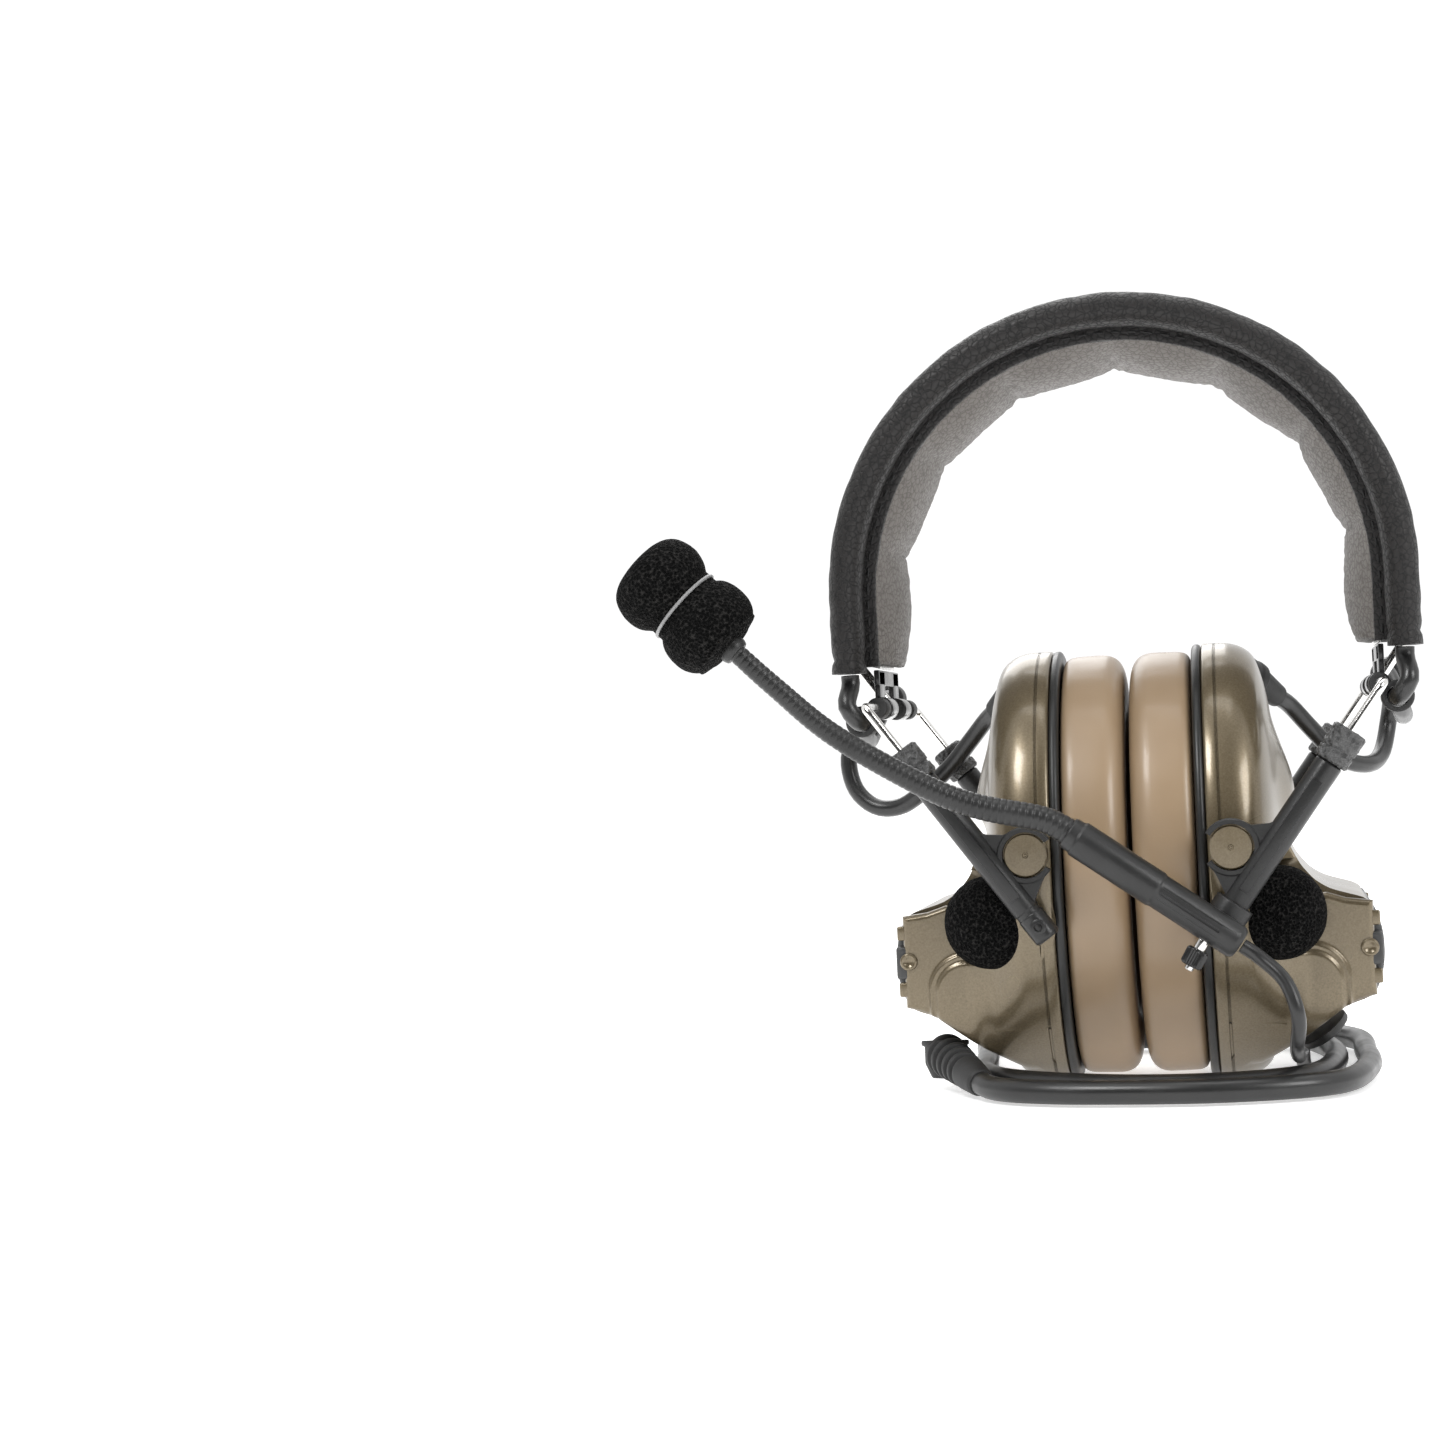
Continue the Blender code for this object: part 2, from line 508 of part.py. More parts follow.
def boot(name):
    """Tapered rubber boot of the jumper cable, standing on the cup's upper rear edge."""
    end = Vector(JUMPER_ROUTE[-1])
    root = Vector(BOOT_ROOT)
    direction = (end - root).normalized()
    length = (end - root).length - GAP
    body = lathe(name, root, direction, [(0, 3.8), (length * 0.45, 3.4), (length, 2.6)], "rubber", sides=14)
    cut = loft("cut", dome_rings(-GAP), collection=cutters)
    return combine(body, cut, "DIFFERENCE")


def button_pad_and_buttons():
    """Two push buttons in an oval pad on the slanted face under the left battery box."""
    slope = Vector((BOX_X - 26.0, 0, BOX_LOW - 0.6)).normalized()
    normal = Vector((slope.z, 0, -slope.x))
    centre = Vector((38.6, -2.0, 9.1)) + normal * 0.25
    rings = []
    for depth in (0.0, 1.0):
        ring = []
        for i in range(28):
            a = 2 * math.pi * i / 28
            along = Vector((0, 16.5 * math.cos(a), 0))
            ring.append(centre + normal * depth + along + slope * 5.6 * math.sin(a))
        rings.append(ring)
    pad = loft("left_button_pad", rings, "rubber")
    for name, y in (("left_button_plus", -8.0), ("left_button_minus", 8.0)):
        spot = centre + Vector((0, y, 0))
        hole = lathe("hole", spot - normal * 3, normal, [(0, 3.6), (9, 3.6)], sides=18, collection=cutters)
        combine(pad, hole, "DIFFERENCE")
        lathe(name, spot + normal * 0.9, normal, [(0, 3.2), (0.7, 3.2), (1.0, 2.8)], "rubber", sides=18)


def mic_socket_and_plug():
    """Jack socket on the left cup's rear and the right-angle plug that fills it."""
    lathe("left_mic_socket", (37.0, BOX_REAR + GAP, 32.0), (0, 1, 0),
          [(0, 6.6), (4.6, 6.6), (5.2, 6.0)], "black", sides=20)
    plug = lathe("mic_plug", (37.0, 42.3, 32.0), (0, 1, 0), [(0, 5.4), (0.6, 6.0), (8.4, 6.0), (9.4, 5.0)],
                 "black", sides=20)
    relief = lathe("relief", (37.0, 47.5, 30.0), (0, 0, -1), [(0, 4.4), (6, 4.2), (9, 3.5), (15.5, 2.3)],
                   sides=14, collection=cutters)
    combine(plug, relief, "UNION")
    tube("mic_cable", smooth_route(MIC_CABLE_ROUTE, 5.5), MIC_CABLE_R, "rubber")


def boom():
    """Collar on the left front arm's foot, holder tube, gooseneck and microphone."""
    foot = on_arm(COLLAR_T, -ARM_Y)
    collar_r = ARM_R + 1.3
    holder = lathe("boom_holder", foot - 5.0 * ARM_DIR, ARM_DIR, [(0, collar_r), (10.0, collar_r)], "black",
                   sides=18)
    start, end = Vector(HOLDER[0]), Vector(HOLDER[1])
    bar = lathe("bar", start, end - start, [(0, 3.0), (1.0, 3.7), ((end - start).length, 3.7)], sides=14,
                collection=cutters)
    combine(holder, bar, "UNION")
    hole = lathe("hole", foot - 15 * ARM_DIR, ARM_DIR, [(0, ARM_R + 0.16), (30, ARM_R + 0.16)], sides=18,
                 collection=cutters)
    combine(holder, hole, "DIFFERENCE")
    lathe("boom_thumb_screw", SCREW_AT, SCREW_DIR, [(0, 1.4), (1.4, 1.4), (1.6, 2.6), (5.4, 2.6), (5.8, 2.2)],
          "steel", sides=12)
    neck = smooth_route(GOOSENECK_ROUTE, 7.0)
    tube("gooseneck", neck, 2.9, "black", resolution=3)
    tip = Vector(GOOSENECK_ROUTE[-1])
    lathe("boom_mic_capsule", tip + 2 * GAP * MIC_DIR, MIC_DIR, [(0, 2.7), (3, 3.2), (16, 3.2)], "black",
          sides=14)
    lobes = [(0, 5.6), (1.2, 8.2), (5.0, 9.8), (9.5, 9.4), (12.4, 6.6), (15.0, 9.2), (19.5, 9.9),
             (23.5, 8.6), (25.6, 5.4)]
    foam = lathe("boom_windscreen", tip + 2.0 * MIC_DIR, MIC_DIR, lobes, "foam", sides=16)
    cut = lathe("cut", tip - 5 * MIC_DIR, MIC_DIR, [(0, 3.5), (22.0, 3.5)], sides=14, collection=cutters)
    combine(foam, cut, "DIFFERENCE")


def downlead():
    """Rubber gland under the right cup, the long cord on the floor and its jack plug."""
    root, end = Vector(GLAND_ROOT), Vector(DOWNLEAD_ROUTE[0])
    direction = (end - root).normalized()
    length = (end - root).length - GAP
    ribs = [(0, 4.6)]
    for i in range(3):
        at, crest, root_r = 2.0 + i * 4.0, 4.7 - 0.3 * i, 3.8 - 0.25 * i
        ribs += [(at, crest), (at + 2.0, crest), (at + 2.3, root_r), (at + 3.7, root_r)]
    ribs.append((length, 2.9))
    gland = lathe("right_cable_gland", root, direction, ribs, "rubber", sides=12)
    stub = lathe("stub", (-42.6, -17.8, 13.0), (0.0, -0.1, -1.0), [(0, 4.4), (7.4, 4.6), (10.8, 3.0)],
                 sides=16, collection=cutters)
    combine(gland, stub, "UNION")
    profile = [(-20, 2.0), (-26, 0.3), (-BOX_X - GAP, BOX_LOW - GAP), (-BOX_X - GAP, 40), (-20, 40)]
    under = loft("under", [[(x, y, z - 0.25) for x, z in profile] for y in (-40, 40)], collection=cutters)
    combine(gland, under, "DIFFERENCE")
    tube("downlead_cable", smooth_route(DOWNLEAD_ROUTE, 13.0), DOWNLEAD_R, "rubber")
    lathe("downlead_plug", (16.0, 46.0, 5.1), (-1, 0, 0),
          [(0, 3.2), (6, 4.6), (20, 4.9), (21, 3.6), (39, 3.5), (40, 2.6), (44, 2.2)], "black", sides=16)


cup("left")
yoke("left")
arm("left_front_arm", -1)
arm("left_rear_arm", 1)
tube("left_jumper_cable", smooth_route(JUMPER_ROUTE, 7.5), JUMPER_R, "rubber")
for made in [obj for obj in parts.objects if obj.name.startswith("left_")]:
    if made.name != "left_jumper_cable":
        mirrored(made, made.name.replace("left_", "right_", 1))
tube("right_jumper_cable", smooth_route(RIGHT_JUMPER_ROUTE, 7.5), JUMPER_R, "rubber")
headband()
button_pad_and_buttons()
mic_socket_and_plug()
boom()
downlead()

# Each moving piece turns about its own origin, and the whole stands centred on the frame's origin.
FRAME_CENTRE = Vector((-19.640, -11.565, 0.0))  # centre of the headset's footprint, in the sizes above
CUP_PIECES = ("cup_shell", "base_plate", "ear_cushion", "speaker", "circuit_board", "foam_liner",
              "upper_cell", "lower_cell", "front_stud", "rear_stud", "windscreen", "talk_through_mic",
              "jumper_boot")
pivots = {}
for side_name, side in (("left_", 1), ("right_", -1)):
    yoke_pivot = Vector((side * on_arm(YOKE_T).x, 0, on_arm(YOKE_T).z))
    for piece in ("yoke_wire", "front_clip", "rear_clip", "front_arm", "rear_arm"):
        pivots[side_name + piece] = yoke_pivot
    for piece in CUP_PIECES:
        pivots[side_name + piece] = Vector((side * STUD[0], 0, STUD[1]))
for piece in ("boom_holder", "gooseneck"):
    pivots[piece] = on_arm(COLLAR_T, -ARM_Y)
for piece in ("boom_mic_capsule", "boom_windscreen"):
    pivots[piece] = Vector(GOOSENECK_ROUTE[1])
pivots["boom_thumb_screw"] = Vector(SCREW_AT)
for obj in parts.objects:
    pivot = pivots.get(obj.name, Vector())
    obj.data.transform(Matrix.Translation(-pivot * MM))
    obj.location = (pivot - FRAME_CENTRE) * MM
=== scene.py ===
"""Looks of the radio headset: moulded shells, leather headband, foam, cords, materials, light and camera.
Sizes are in mm in the headset's own axes, whose origin lies midway between the cups on the floor;
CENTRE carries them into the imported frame."""

import math

import bmesh
import bpy
import numpy as np
from mathutils import Matrix, Vector, noise


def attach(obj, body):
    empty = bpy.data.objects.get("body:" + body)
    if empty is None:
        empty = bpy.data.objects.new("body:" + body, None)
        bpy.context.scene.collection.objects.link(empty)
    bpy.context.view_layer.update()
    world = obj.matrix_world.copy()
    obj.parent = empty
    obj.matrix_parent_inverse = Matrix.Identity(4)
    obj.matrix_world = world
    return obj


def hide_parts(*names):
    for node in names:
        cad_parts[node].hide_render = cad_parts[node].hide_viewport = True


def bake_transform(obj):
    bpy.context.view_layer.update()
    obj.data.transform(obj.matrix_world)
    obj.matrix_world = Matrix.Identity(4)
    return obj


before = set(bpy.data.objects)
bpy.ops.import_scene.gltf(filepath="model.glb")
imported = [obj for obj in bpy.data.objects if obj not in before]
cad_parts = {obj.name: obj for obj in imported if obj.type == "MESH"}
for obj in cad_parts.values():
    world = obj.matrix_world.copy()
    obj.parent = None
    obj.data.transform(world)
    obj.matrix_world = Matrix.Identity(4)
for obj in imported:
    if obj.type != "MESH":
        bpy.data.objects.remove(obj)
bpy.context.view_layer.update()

MM = 0.001
CENTRE = Vector((-19.640, -11.565, 0.0))
CUP_Z, HALF_Y, HALF_Z, RIM_X = 46.7, 39.0, 47.5, 16.2
BOX_X, BOX_LOW, BOX_HIGH, BOX_FRONT, BOX_REAR = 49.4, 17.0, 38.5, -28.5, 36.5
DOOR_LOW, DOOR_HIGH = BOX_FRONT + 3.0, BOX_REAR - 2.4
STUD = (21.0, 51.0)
ARM_TILT = math.radians(36)
ARM_DIR = Vector((math.sin(ARM_TILT), 0, math.cos(ARM_TILT)))
ARM_Y, ARM_R, CAP_R, WIRE_R, YOKE_T = 43.2, 2.9, 3.7, 1.0, 45.0
ARM_LOW, CAP_LOW = -16.5, 25.5
BAND_Z, BAND_OUT, BAND_IN, BAND_END = 107.0, 57.5, 48.5, 93.0
CHANNEL_OUT, CHANNEL_IN, CHANNEL_END = 62.2, 55.0, 91.0
BAND_FRONT, SEAM_Y, BAND_REAR = -31.5, -19.5, 18.5
ARCH_R, STRAP_LENGTH, CHANNEL_LENGTH = 57.0, 206, 210
JUMPER_R, MIC_CABLE_R, DOWNLEAD_R = 2.0, 1.5, 2.5
WINDSCREEN = (30.0, 36.5)
HOLDER = (22.0, -50.2, 31.6), (-11.5, -51.8, 55.8)
SCREW_AT, SCREW_DIR = (14.3, -50.5, 31.9), (-0.5, 0.0, -0.87)
MIC_DIR = Vector((-0.713, -0.01, 0.70)).normalized()
BOOT_ROOT = (25.0, 17.5, 88.0)
GLAND_ROOT = (-42.5, -19.5, 7.6)
DOOR_Z = 28.2

JUMPER_ROUTE = [
    (58.5, -25.5, 90.6), (58.5, -25.6, 88.2), (59.0, -28.8, 84.0), (56.8, -27.0, 80.5),
    (56.7, -16.6, 80.4), (58.2, -7.0, 77.6), (58.9, 3.0, 76.6), (58.4, 12.5, 80.4),
    (56.9, 20.0, 85.7), (56.7, 24.5, 86.0), (56.7, 30.6, 86.0), (58.0, 41.0, 88.2), (59.0, 51.0, 83.5),
    (58.0, 55.5, 75.5), (55.8, 50.8, 67.8), (52.0, 42.5, 65.5), (46.0, 36.5, 67.5),
    (40.0, 34.5, 74.0), (35.2, 31.1, 79.8), (32.5, 27.5, 82.0),
]
RIGHT_JUMPER_ROUTE = [(-x, y, z) for x, y, z in JUMPER_ROUTE[:11]] + [
    (-57.2, 34.5, 86.0), (-61.0, 39.8, 84.5), (-67.0, 43.8, 79.0), (-70.0, 44.5, 72.5), (-68.5, 43.5, 65.0),
    (-63.5, 42.0, 60.5), (-57.0, 40.0, 60.5), (-50.5, 37.0, 64.5), (-44.5, 36.0, 69.5),
    (-39.5, 34.0, 75.0), (-35.2, 31.1, 79.8), (-32.5, 27.5, 82.0),
]
MIC_CABLE_ROUTE = [
    (22.4, -50.2, 31.3), (25.8, -50.4, 28.8), (30.6, -53.0, 24.0), (32.8, -54.5, 17.0),
    (32.3, -50.0, 10.8), (32.6, -40.0, 7.6), (33.3, -27.5, 6.7), (33.8, -17.5, 3.0),
    (34.0, -6.0, 1.8), (34.0, 8.0, 1.8), (34.2, 20.0, 3.4), (34.8, 30.0, 7.2),
    (36.0, 39.5, 8.2), (36.9, 46.0, 9.6), (37.0, 47.5, 14.1),
]
DOWNLEAD_ROUTE = [
    (-33.0, -37.5, 3.2), (-30.0, -42.5, 2.7), (-23.0, -48.5, 2.7), (-9.0, -53.0, 2.7), (18.0, -54.5, 2.7),
    (40.0, -45.0, 2.7), (47.0, -20.0, 2.7), (47.5, 8.0, 2.7), (46.0, 34.0, 2.7),
    (32.0, 54.0, 2.7), (6.0, 62.0, 2.7), (-22.0, 60.0, 2.7), (-38.0, 46.0, 2.7),
    (-37.0, 20.0, 2.7), (-35.3, 0.0, 2.7), (-33.6, -18.0, 2.7), (-24.0, -33.0, 2.7),
    (-2.0, -44.5, 2.7), (20.0, -44.0, 2.7), (35.0, -33.0, 2.7), (40.4, -10.0, 2.7),
    (40.5, 12.0, 2.7), (36.5, 32.0, 2.7), (28.5, 44.0, 3.8), (21.5, 46.0, 5.1), (16.5, 46.0, 5.1),
]
GOOSENECK_ROUTE = [
    (-12.7, -51.9, 56.7), (-17.5, -52.3, 58.9), (-30.0, -53.5, 62.0), (-41.0, -54.5, 67.0),
    (-58.0, -56.5, 77.8), (-69.5, -58.5, 88.3), (-77.0, -60.0, 95.8),
]


# ---------------------------------------------------------------- materials
class Shading:
    """A Principled material with helpers for the textures that the materials share."""

    def __init__(self, name, colour, roughness, metallic=0.0, coat=0.0, sheen=0.0):
        self.material = bpy.data.materials.new(name)
        self.material.use_nodes = True
        self.nodes = self.material.node_tree.nodes
        self.links = self.material.node_tree.links
        self.shader = self.nodes["Principled BSDF"]
        self.shader.inputs["Base Color"].default_value = (*colour, 1)
        self.shader.inputs["Roughness"].default_value = roughness
        self.shader.inputs["Metallic"].default_value = metallic
        self.shader.inputs["Coat Weight"].default_value = coat
        self.shader.inputs["Coat Roughness"].default_value = 0.12
        self.shader.inputs["Sheen Weight"].default_value = sheen
        self.shader.inputs["Sheen Roughness"].default_value = 0.5
        self.place = self.nodes.new("ShaderNodeTexCoord").outputs["Object"]
        self.normal = None

    def noise(self, scale, detail=3.0, roughness=0.55, distortion=0.0):
        node = self.nodes.new("ShaderNodeTexNoise")
        node.inputs["Scale"].default_value = scale
        node.inputs["Detail"].default_value = detail
        node.inputs["Roughness"].default_value = roughness
        node.inputs["Distortion"].default_value = distortion
        self.links.new(self.place, node.inputs["Vector"])
        return node.outputs["Fac"]

    def cells(self, scale, feature="F1", warp=0.0):
        node = self.nodes.new("ShaderNodeTexVoronoi")
        node.feature = feature
        node.inputs["Scale"].default_value = scale
        vector = self.place
        if warp:
            shift = self.nodes.new("ShaderNodeTexNoise")
            shift.inputs["Scale"].default_value = scale * 0.8
            self.links.new(self.place, shift.inputs["Vector"])
            scaled = self.nodes.new("ShaderNodeVectorMath")
            scaled.operation = "MULTIPLY_ADD"
            scaled.inputs[1].default_value = (warp, warp, warp)
            self.links.new(shift.outputs["Color"], scaled.inputs[0])
            self.links.new(self.place, scaled.inputs[2])
            vector = scaled.outputs["Vector"]
        self.links.new(vector, node.inputs["Vector"])
        return node.outputs["Distance"]

    def ramp(self, fac, stops):
        node = self.nodes.new("ShaderNodeValToRGB")
        ramp = node.color_ramp
        while len(ramp.elements) < len(stops):
            ramp.elements.new(0.5)
        for element, (at, value) in zip(ramp.elements, stops):
            element.position = at
            element.color = (*value, 1) if hasattr(value, "__len__") else (value, value, value, 1)
        self.links.new(fac, node.inputs["Fac"])
        return node.outputs["Color"]

    def colour(self, fac, stops):
        self.links.new(self.ramp(fac, stops), self.shader.inputs["Base Color"])
        return self

    def gloss(self, fac, stops):
        self.links.new(self.ramp(fac, stops), self.shader.inputs["Roughness"])
        return self

    def bump(self, height, strength, distance):
        node = self.nodes.new("ShaderNodeBump")
        node.inputs["Strength"].default_value = strength
        node.inputs["Distance"].default_value = distance
        self.links.new(height, node.inputs["Height"])
        if self.normal is not None:
            self.links.new(self.normal, node.inputs["Normal"])
        self.normal = node.outputs["Normal"]
        self.links.new(self.normal, self.shader.inputs["Normal"])
        return self


def olive_shell():
    """Satin olive paint with a fine metallic flake and faint handling marks."""
    made = Shading("olive_shell", (0.16, 0.128, 0.08), 0.3, metallic=0.5, coat=0.4)
    made.colour(made.noise(2600, 2.0), [(0.25, (0.118, 0.092, 0.054)), (0.75, (0.172, 0.137, 0.085))])
    made.gloss(made.noise(45, 3.0), [(0.35, 0.27), (0.65, 0.34)])
    made.bump(made.noise(3200, 2.0), 0.12, 0.00006)
    return made.material


def cushion_skin():
    """Tan elastomer skin: soft satin with a fine grain."""
    made = Shading("cushion_skin", (0.235, 0.165, 0.1), 0.38, coat=0.12)
    made.colour(made.noise(35, 3.0), [(0.3, (0.25, 0.176, 0.106)), (0.7, (0.29, 0.207, 0.128))])
    made.gloss(made.noise(90, 3.0), [(0.3, 0.33), (0.7, 0.44)])
    made.bump(made.cells(1700, warp=0.0004), 0.1, 0.00008)
    return made.material


def black_plastic(name="black_plastic", grain=1500, strength=0.3, roughness=0.38, tone=0.014):
    """Satin black moulding with a fine spark-eroded grain."""
    made = Shading(name, (tone, tone, tone), roughness)
    made.shader.inputs["Specular IOR Level"].default_value = 0.4
    made.colour(made.noise(120, 3.0), [(0.3, tone * 0.8), (0.7, tone * 1.3)])
    made.gloss(made.noise(70, 3.0), [(0.3, roughness - 0.08), (0.7, roughness + 0.1)])
    made.bump(made.noise(grain, 2.0), strength, 0.00012)
    return made.material


def leather(name, dark, light, scale=720, strength=0.7):
    """Pebbled leather: domed cells with creases between them, over slow unevenness; the creases are painted
    darker as painted shade.
    """
    made = Shading(name, light, 0.5)
    made.shader.inputs["Specular IOR Level"].default_value = 0.26
    edge = made.cells(scale, "DISTANCE_TO_EDGE", warp=0.0012)
    # Painted shade: the colour darkens towards the cells' edges, which are the low creases of the bump below.
    made.colour(edge, [(0.0, dark), (0.14, light)])
    made.gloss(edge, [(0.0, 0.62), (0.2, 0.44)])
    made.bump(made.noise(110, 3.0), 0.2, 0.0005)
    made.bump(made.ramp(edge, [(0.0, 0.0), (0.1, 0.6), (0.35, 1.0)]), strength, 0.00014)
    return made.material


def open_foam():
    """Open-cell windscreen foam: matt struts, with the pits between them painted near-black as painted shade.
    """
    made = Shading("open_foam", (0.01, 0.01, 0.01), 0.9)
    made.shader.inputs["Specular IOR Level"].default_value = 0.08
    pits = made.cells(1700, warp=0.0004)
    # Painted shade: the pits, the low cell centres of the bump below, are painted near-black; the struts keep
    # the foam's own dark grey.
    made.colour(pits, [(0.3, (0.0005, 0.0005, 0.0005)), (0.55, (0.004, 0.004, 0.004)),
                       (0.85, (0.022, 0.021, 0.02))])
    made.bump(pits, 1.0, 0.0009)
    made.bump(made.noise(900, 2.0), 0.4, 0.0004)
    return made.material


def knurl():
    """Coarse cast grain of the arms' caps, painted darker in its dips as painted shade."""
    made = Shading("knurl", (0.03, 0.029, 0.028), 0.5)
    lumps = made.cells(900, warp=0.0012)
    # Painted shade: the colour darkens towards the cells' centres, which the bump below sinks into dips.
    made.colour(lumps, [(0.1, 0.014), (0.6, 0.06)])
    made.bump(lumps, 1.0, 0.0007)
    return made.material


def chrome():
    """Polished spring wire with faint drawing marks."""
    made = Shading("chrome_wire", (0.74, 0.73, 0.71), 0.16, metallic=1.0)
    made.gloss(made.noise(300, 3.0), [(0.3, 0.1), (0.7, 0.24)])
    made.bump(made.noise(900, 2.0), 0.05, 0.0001)
    return made.material


def cord_skin(name="cord_skin", tone=0.013):
    """Matt polyurethane jacket with a slight sheen."""
    made = Shading(name, (tone, tone, tone), 0.33)
    made.colour(made.noise(50, 3.0), [(0.3, tone * 0.8), (0.7, tone * 1.35)])
    made.gloss(made.noise(160, 3.0), [(0.3, 0.28), (0.7, 0.4)])
    made.bump(made.noise(1300, 2.0), 0.12, 0.0001)
    return made.material


def simple(name, colour, roughness, metallic=0.0, grain=600):
    """A plain finish with slight unevenness of tone and surface."""
    made = Shading(name, colour, roughness, metallic)
    low, high = [tuple(c * k for c in colour) for k in (0.8, 1.2)]
    made.colour(made.noise(grain * 0.2, 3.0), [(0.3, low), (0.7, high)])
    made.bump(made.noise(grain, 2.0), 0.15, 0.0001)
    return made.material


def floor_material():
    """White light-table floor: pale and faintly glowing, as under a product photograph."""
    made = Shading("floor", (0.9, 0.9, 0.9), 0.6)
    made.colour(made.noise(3, 2.0), [(0.3, 0.86), (0.7, 0.9)])
    made.shader.inputs["Emission Color"].default_value = (1, 1, 1, 1)
    made.shader.inputs["Emission Strength"].default_value = 0.55
    return made.material


OLIVE, TAN = olive_shell(), cushion_skin()
# The first colour of each leather is painted shade in its creases; the second is the leather's own colour.
LEATHER = leather("leather", (0.004, 0.004, 0.004), (0.016, 0.0148, 0.0145))
LINING = leather("lining", (0.1, 0.092, 0.085), (0.15, 0.139, 0.128), 800, 0.7)
BLACK, FOAM, KNURL, STEEL, CORD = black_plastic(), open_foam(), knurl(), chrome(), cord_skin()
SHINY = black_plastic("gloss_black", 400, 0.05, 0.2, 0.018)
DOOR = black_plastic("door_grey", 1800, 0.35, 0.36, 0.045)
RUBBER = black_plastic("rubber", 900, 0.35, 0.6, 0.022)
THREAD = simple("thread", (0.012, 0.012, 0.012), 0.8)
CELL = simple("cell_wrap", (0.42, 0.33, 0.16), 0.3, 0.5)
BOARD = simple("board_green", (0.02, 0.09, 0.04), 0.45)
GREY = simple("grey_ring", (0.2, 0.2, 0.2), 0.4)


# ---------------------------------------------------------------- shapes
def place(mesh, name, material, angle=40):
    """Carries a mesh in mm into the frame and makes it a piece."""
    mesh.transform(Matrix.Scale(MM, 4) @ Matrix.Translation(-CENTRE))
    mesh.materials.clear()
    mesh.materials.append(material)
    mesh.shade_smooth()
    mesh.set_sharp_from_angle(angle=math.radians(angle))
    obj = bpy.data.objects.new(name, mesh)
    bpy.context.scene.collection.objects.link(obj)
    return obj


def solid(name, verts, faces):
    """A mesh of these faces, all facing outwards."""
    mesh = bpy.data.meshes.new(name)
    mesh.from_pydata(verts, [], faces)
    bm = bmesh.new()
    bm.from_mesh(mesh)
    bmesh.ops.recalc_face_normals(bm, faces=bm.faces)
    bm.to_mesh(mesh)
    bm.free()
    return mesh


def grid_mesh(name, rings, closed=False):
    """A skin through rings of equally many points."""
    rings = np.asarray([[tuple(p) for p in ring] for ring in rings], float)
    rows, count = rings.shape[:2]
    index = np.arange(rows * count).reshape(rows, count)
    high = np.roll(index, -1, 0) if closed else index[1:]
    low = index if closed else index[:-1]
    quads = np.stack([low, np.roll(low, -1, 1), np.roll(high, -1, 1), high], -1).reshape(-1, 4)
    faces = quads.tolist()
    if not closed:
        faces += [index[0][::-1].tolist(), index[-1].tolist()]
    return solid(name, rings.reshape(-1, 3).tolist(), faces)


def around(count):
    """Evenly spaced angles of one full turn, in radians."""
    return [2 * math.pi * i / count for i in range(count)]


def turned(name, start, direction, profile, sides=48):
    """A turned solid: profile is (distance along the axis, radius) pairs."""
    axis = Vector(direction).normalized()
    side = axis.orthogonal().normalized()
    other = axis.cross(side)
    rings = []
    for along, radius in profile:
        centre = Vector(start) + along * axis
        rings.append([centre + radius * (math.cos(a) * side + math.sin(a) * other) for a in around(sides)])
    return grid_mesh(name, rings)


def rounded(profile, radius=0.4, steps=3):
    """A turned profile whose corners are small arcs."""
    points = [Vector((a, r)) for a, r in profile]
    path = [points[0]]
    for before, corner, after in zip(points, points[1:], points[2:]):
        cut = min(radius, 0.45 * (before - corner).length, 0.45 * (after - corner).length)
        if cut < 1e-4:
            path.append(corner)
            continue
        a, b = (before - corner).normalized() * cut, (after - corner).normalized() * cut
        path += [corner + a * (1 - k / steps) ** 2 + b * (k / steps) ** 2 for k in range(steps + 1)]
    return [tuple(p) for p in path + [points[-1]]]


def smooth_route(points, step):
    """Evenly spaced points on the smooth curve through the route's points."""
    points = [Vector(p) for p in points]
    dense = []
    for i in range(len(points) - 1):
        p1, p2 = points[i], points[i + 1]
        p0 = points[i - 1] if i else 2 * p1 - p2
        p3 = points[i + 2] if i + 2 < len(points) else 2 * p2 - p1
        for k in range(24):
            t = k / 24
            bend = 2 * p0 - 5 * p1 + 4 * p2 - p3
            twist = 3 * p1 - 3 * p2 + p3 - p0
            dense.append(0.5 * (2 * p1 + (p2 - p0) * t + bend * t * t + twist * t ** 3))
    dense.append(points[-1])
    lengths = np.cumsum([0.0] + [(b - a).length for a, b in zip(dense, dense[1:])])
    at = np.linspace(0, lengths[-1], max(3, round(lengths[-1] / step) + 1))
    table = np.array([tuple(p) for p in dense])
    return [Vector([np.interp(s, lengths, table[:, k]) for k in range(3)]) for s in at]


def rounded_path(points, radius, steps=6):
    """The route through points, whose corners are arcs."""
    points = [Vector(p) for p in points]
    path = [points[0]]
    for before, corner, after in zip(points, points[1:], points[2:]):
        a, b = (before - corner).normalized(), (after - corner).normalized()
        cut = min(radius, 0.49 * min((before - corner).length, (after - corner).length))
        shares = [k / steps for k in range(steps + 1)]
        path += [corner + a * cut * (1 - t) ** 2 + b * cut * t ** 2 for t in shares]
    return path + [points[-1]]


def swept_tube(name, points, radius, sides=20):
    """A round bar along points; radius is a number or a function of the distance along it."""
    points = [Vector(p) for p in points]
    tangents = []
    for i in range(len(points)):
        a, b = points[max(i - 1, 0)], points[min(i + 1, len(points) - 1)]
        tangents.append((b - a).normalized())
    side = tangents[0].orthogonal().normalized()
    rings, along = [], 0.0
    for i, (point, tangent) in enumerate(zip(points, tangents)):
        if i:
            along += (point - points[i - 1]).length
            side = (side - side.dot(tangent) * tangent).normalized()
        other = tangent.cross(side)
        r = radius(along) if callable(radius) else radius
        rings.append([point + r * (math.cos(a) * side + math.sin(a) * other) for a in around(sides)])
    return grid_mesh(name, rings)


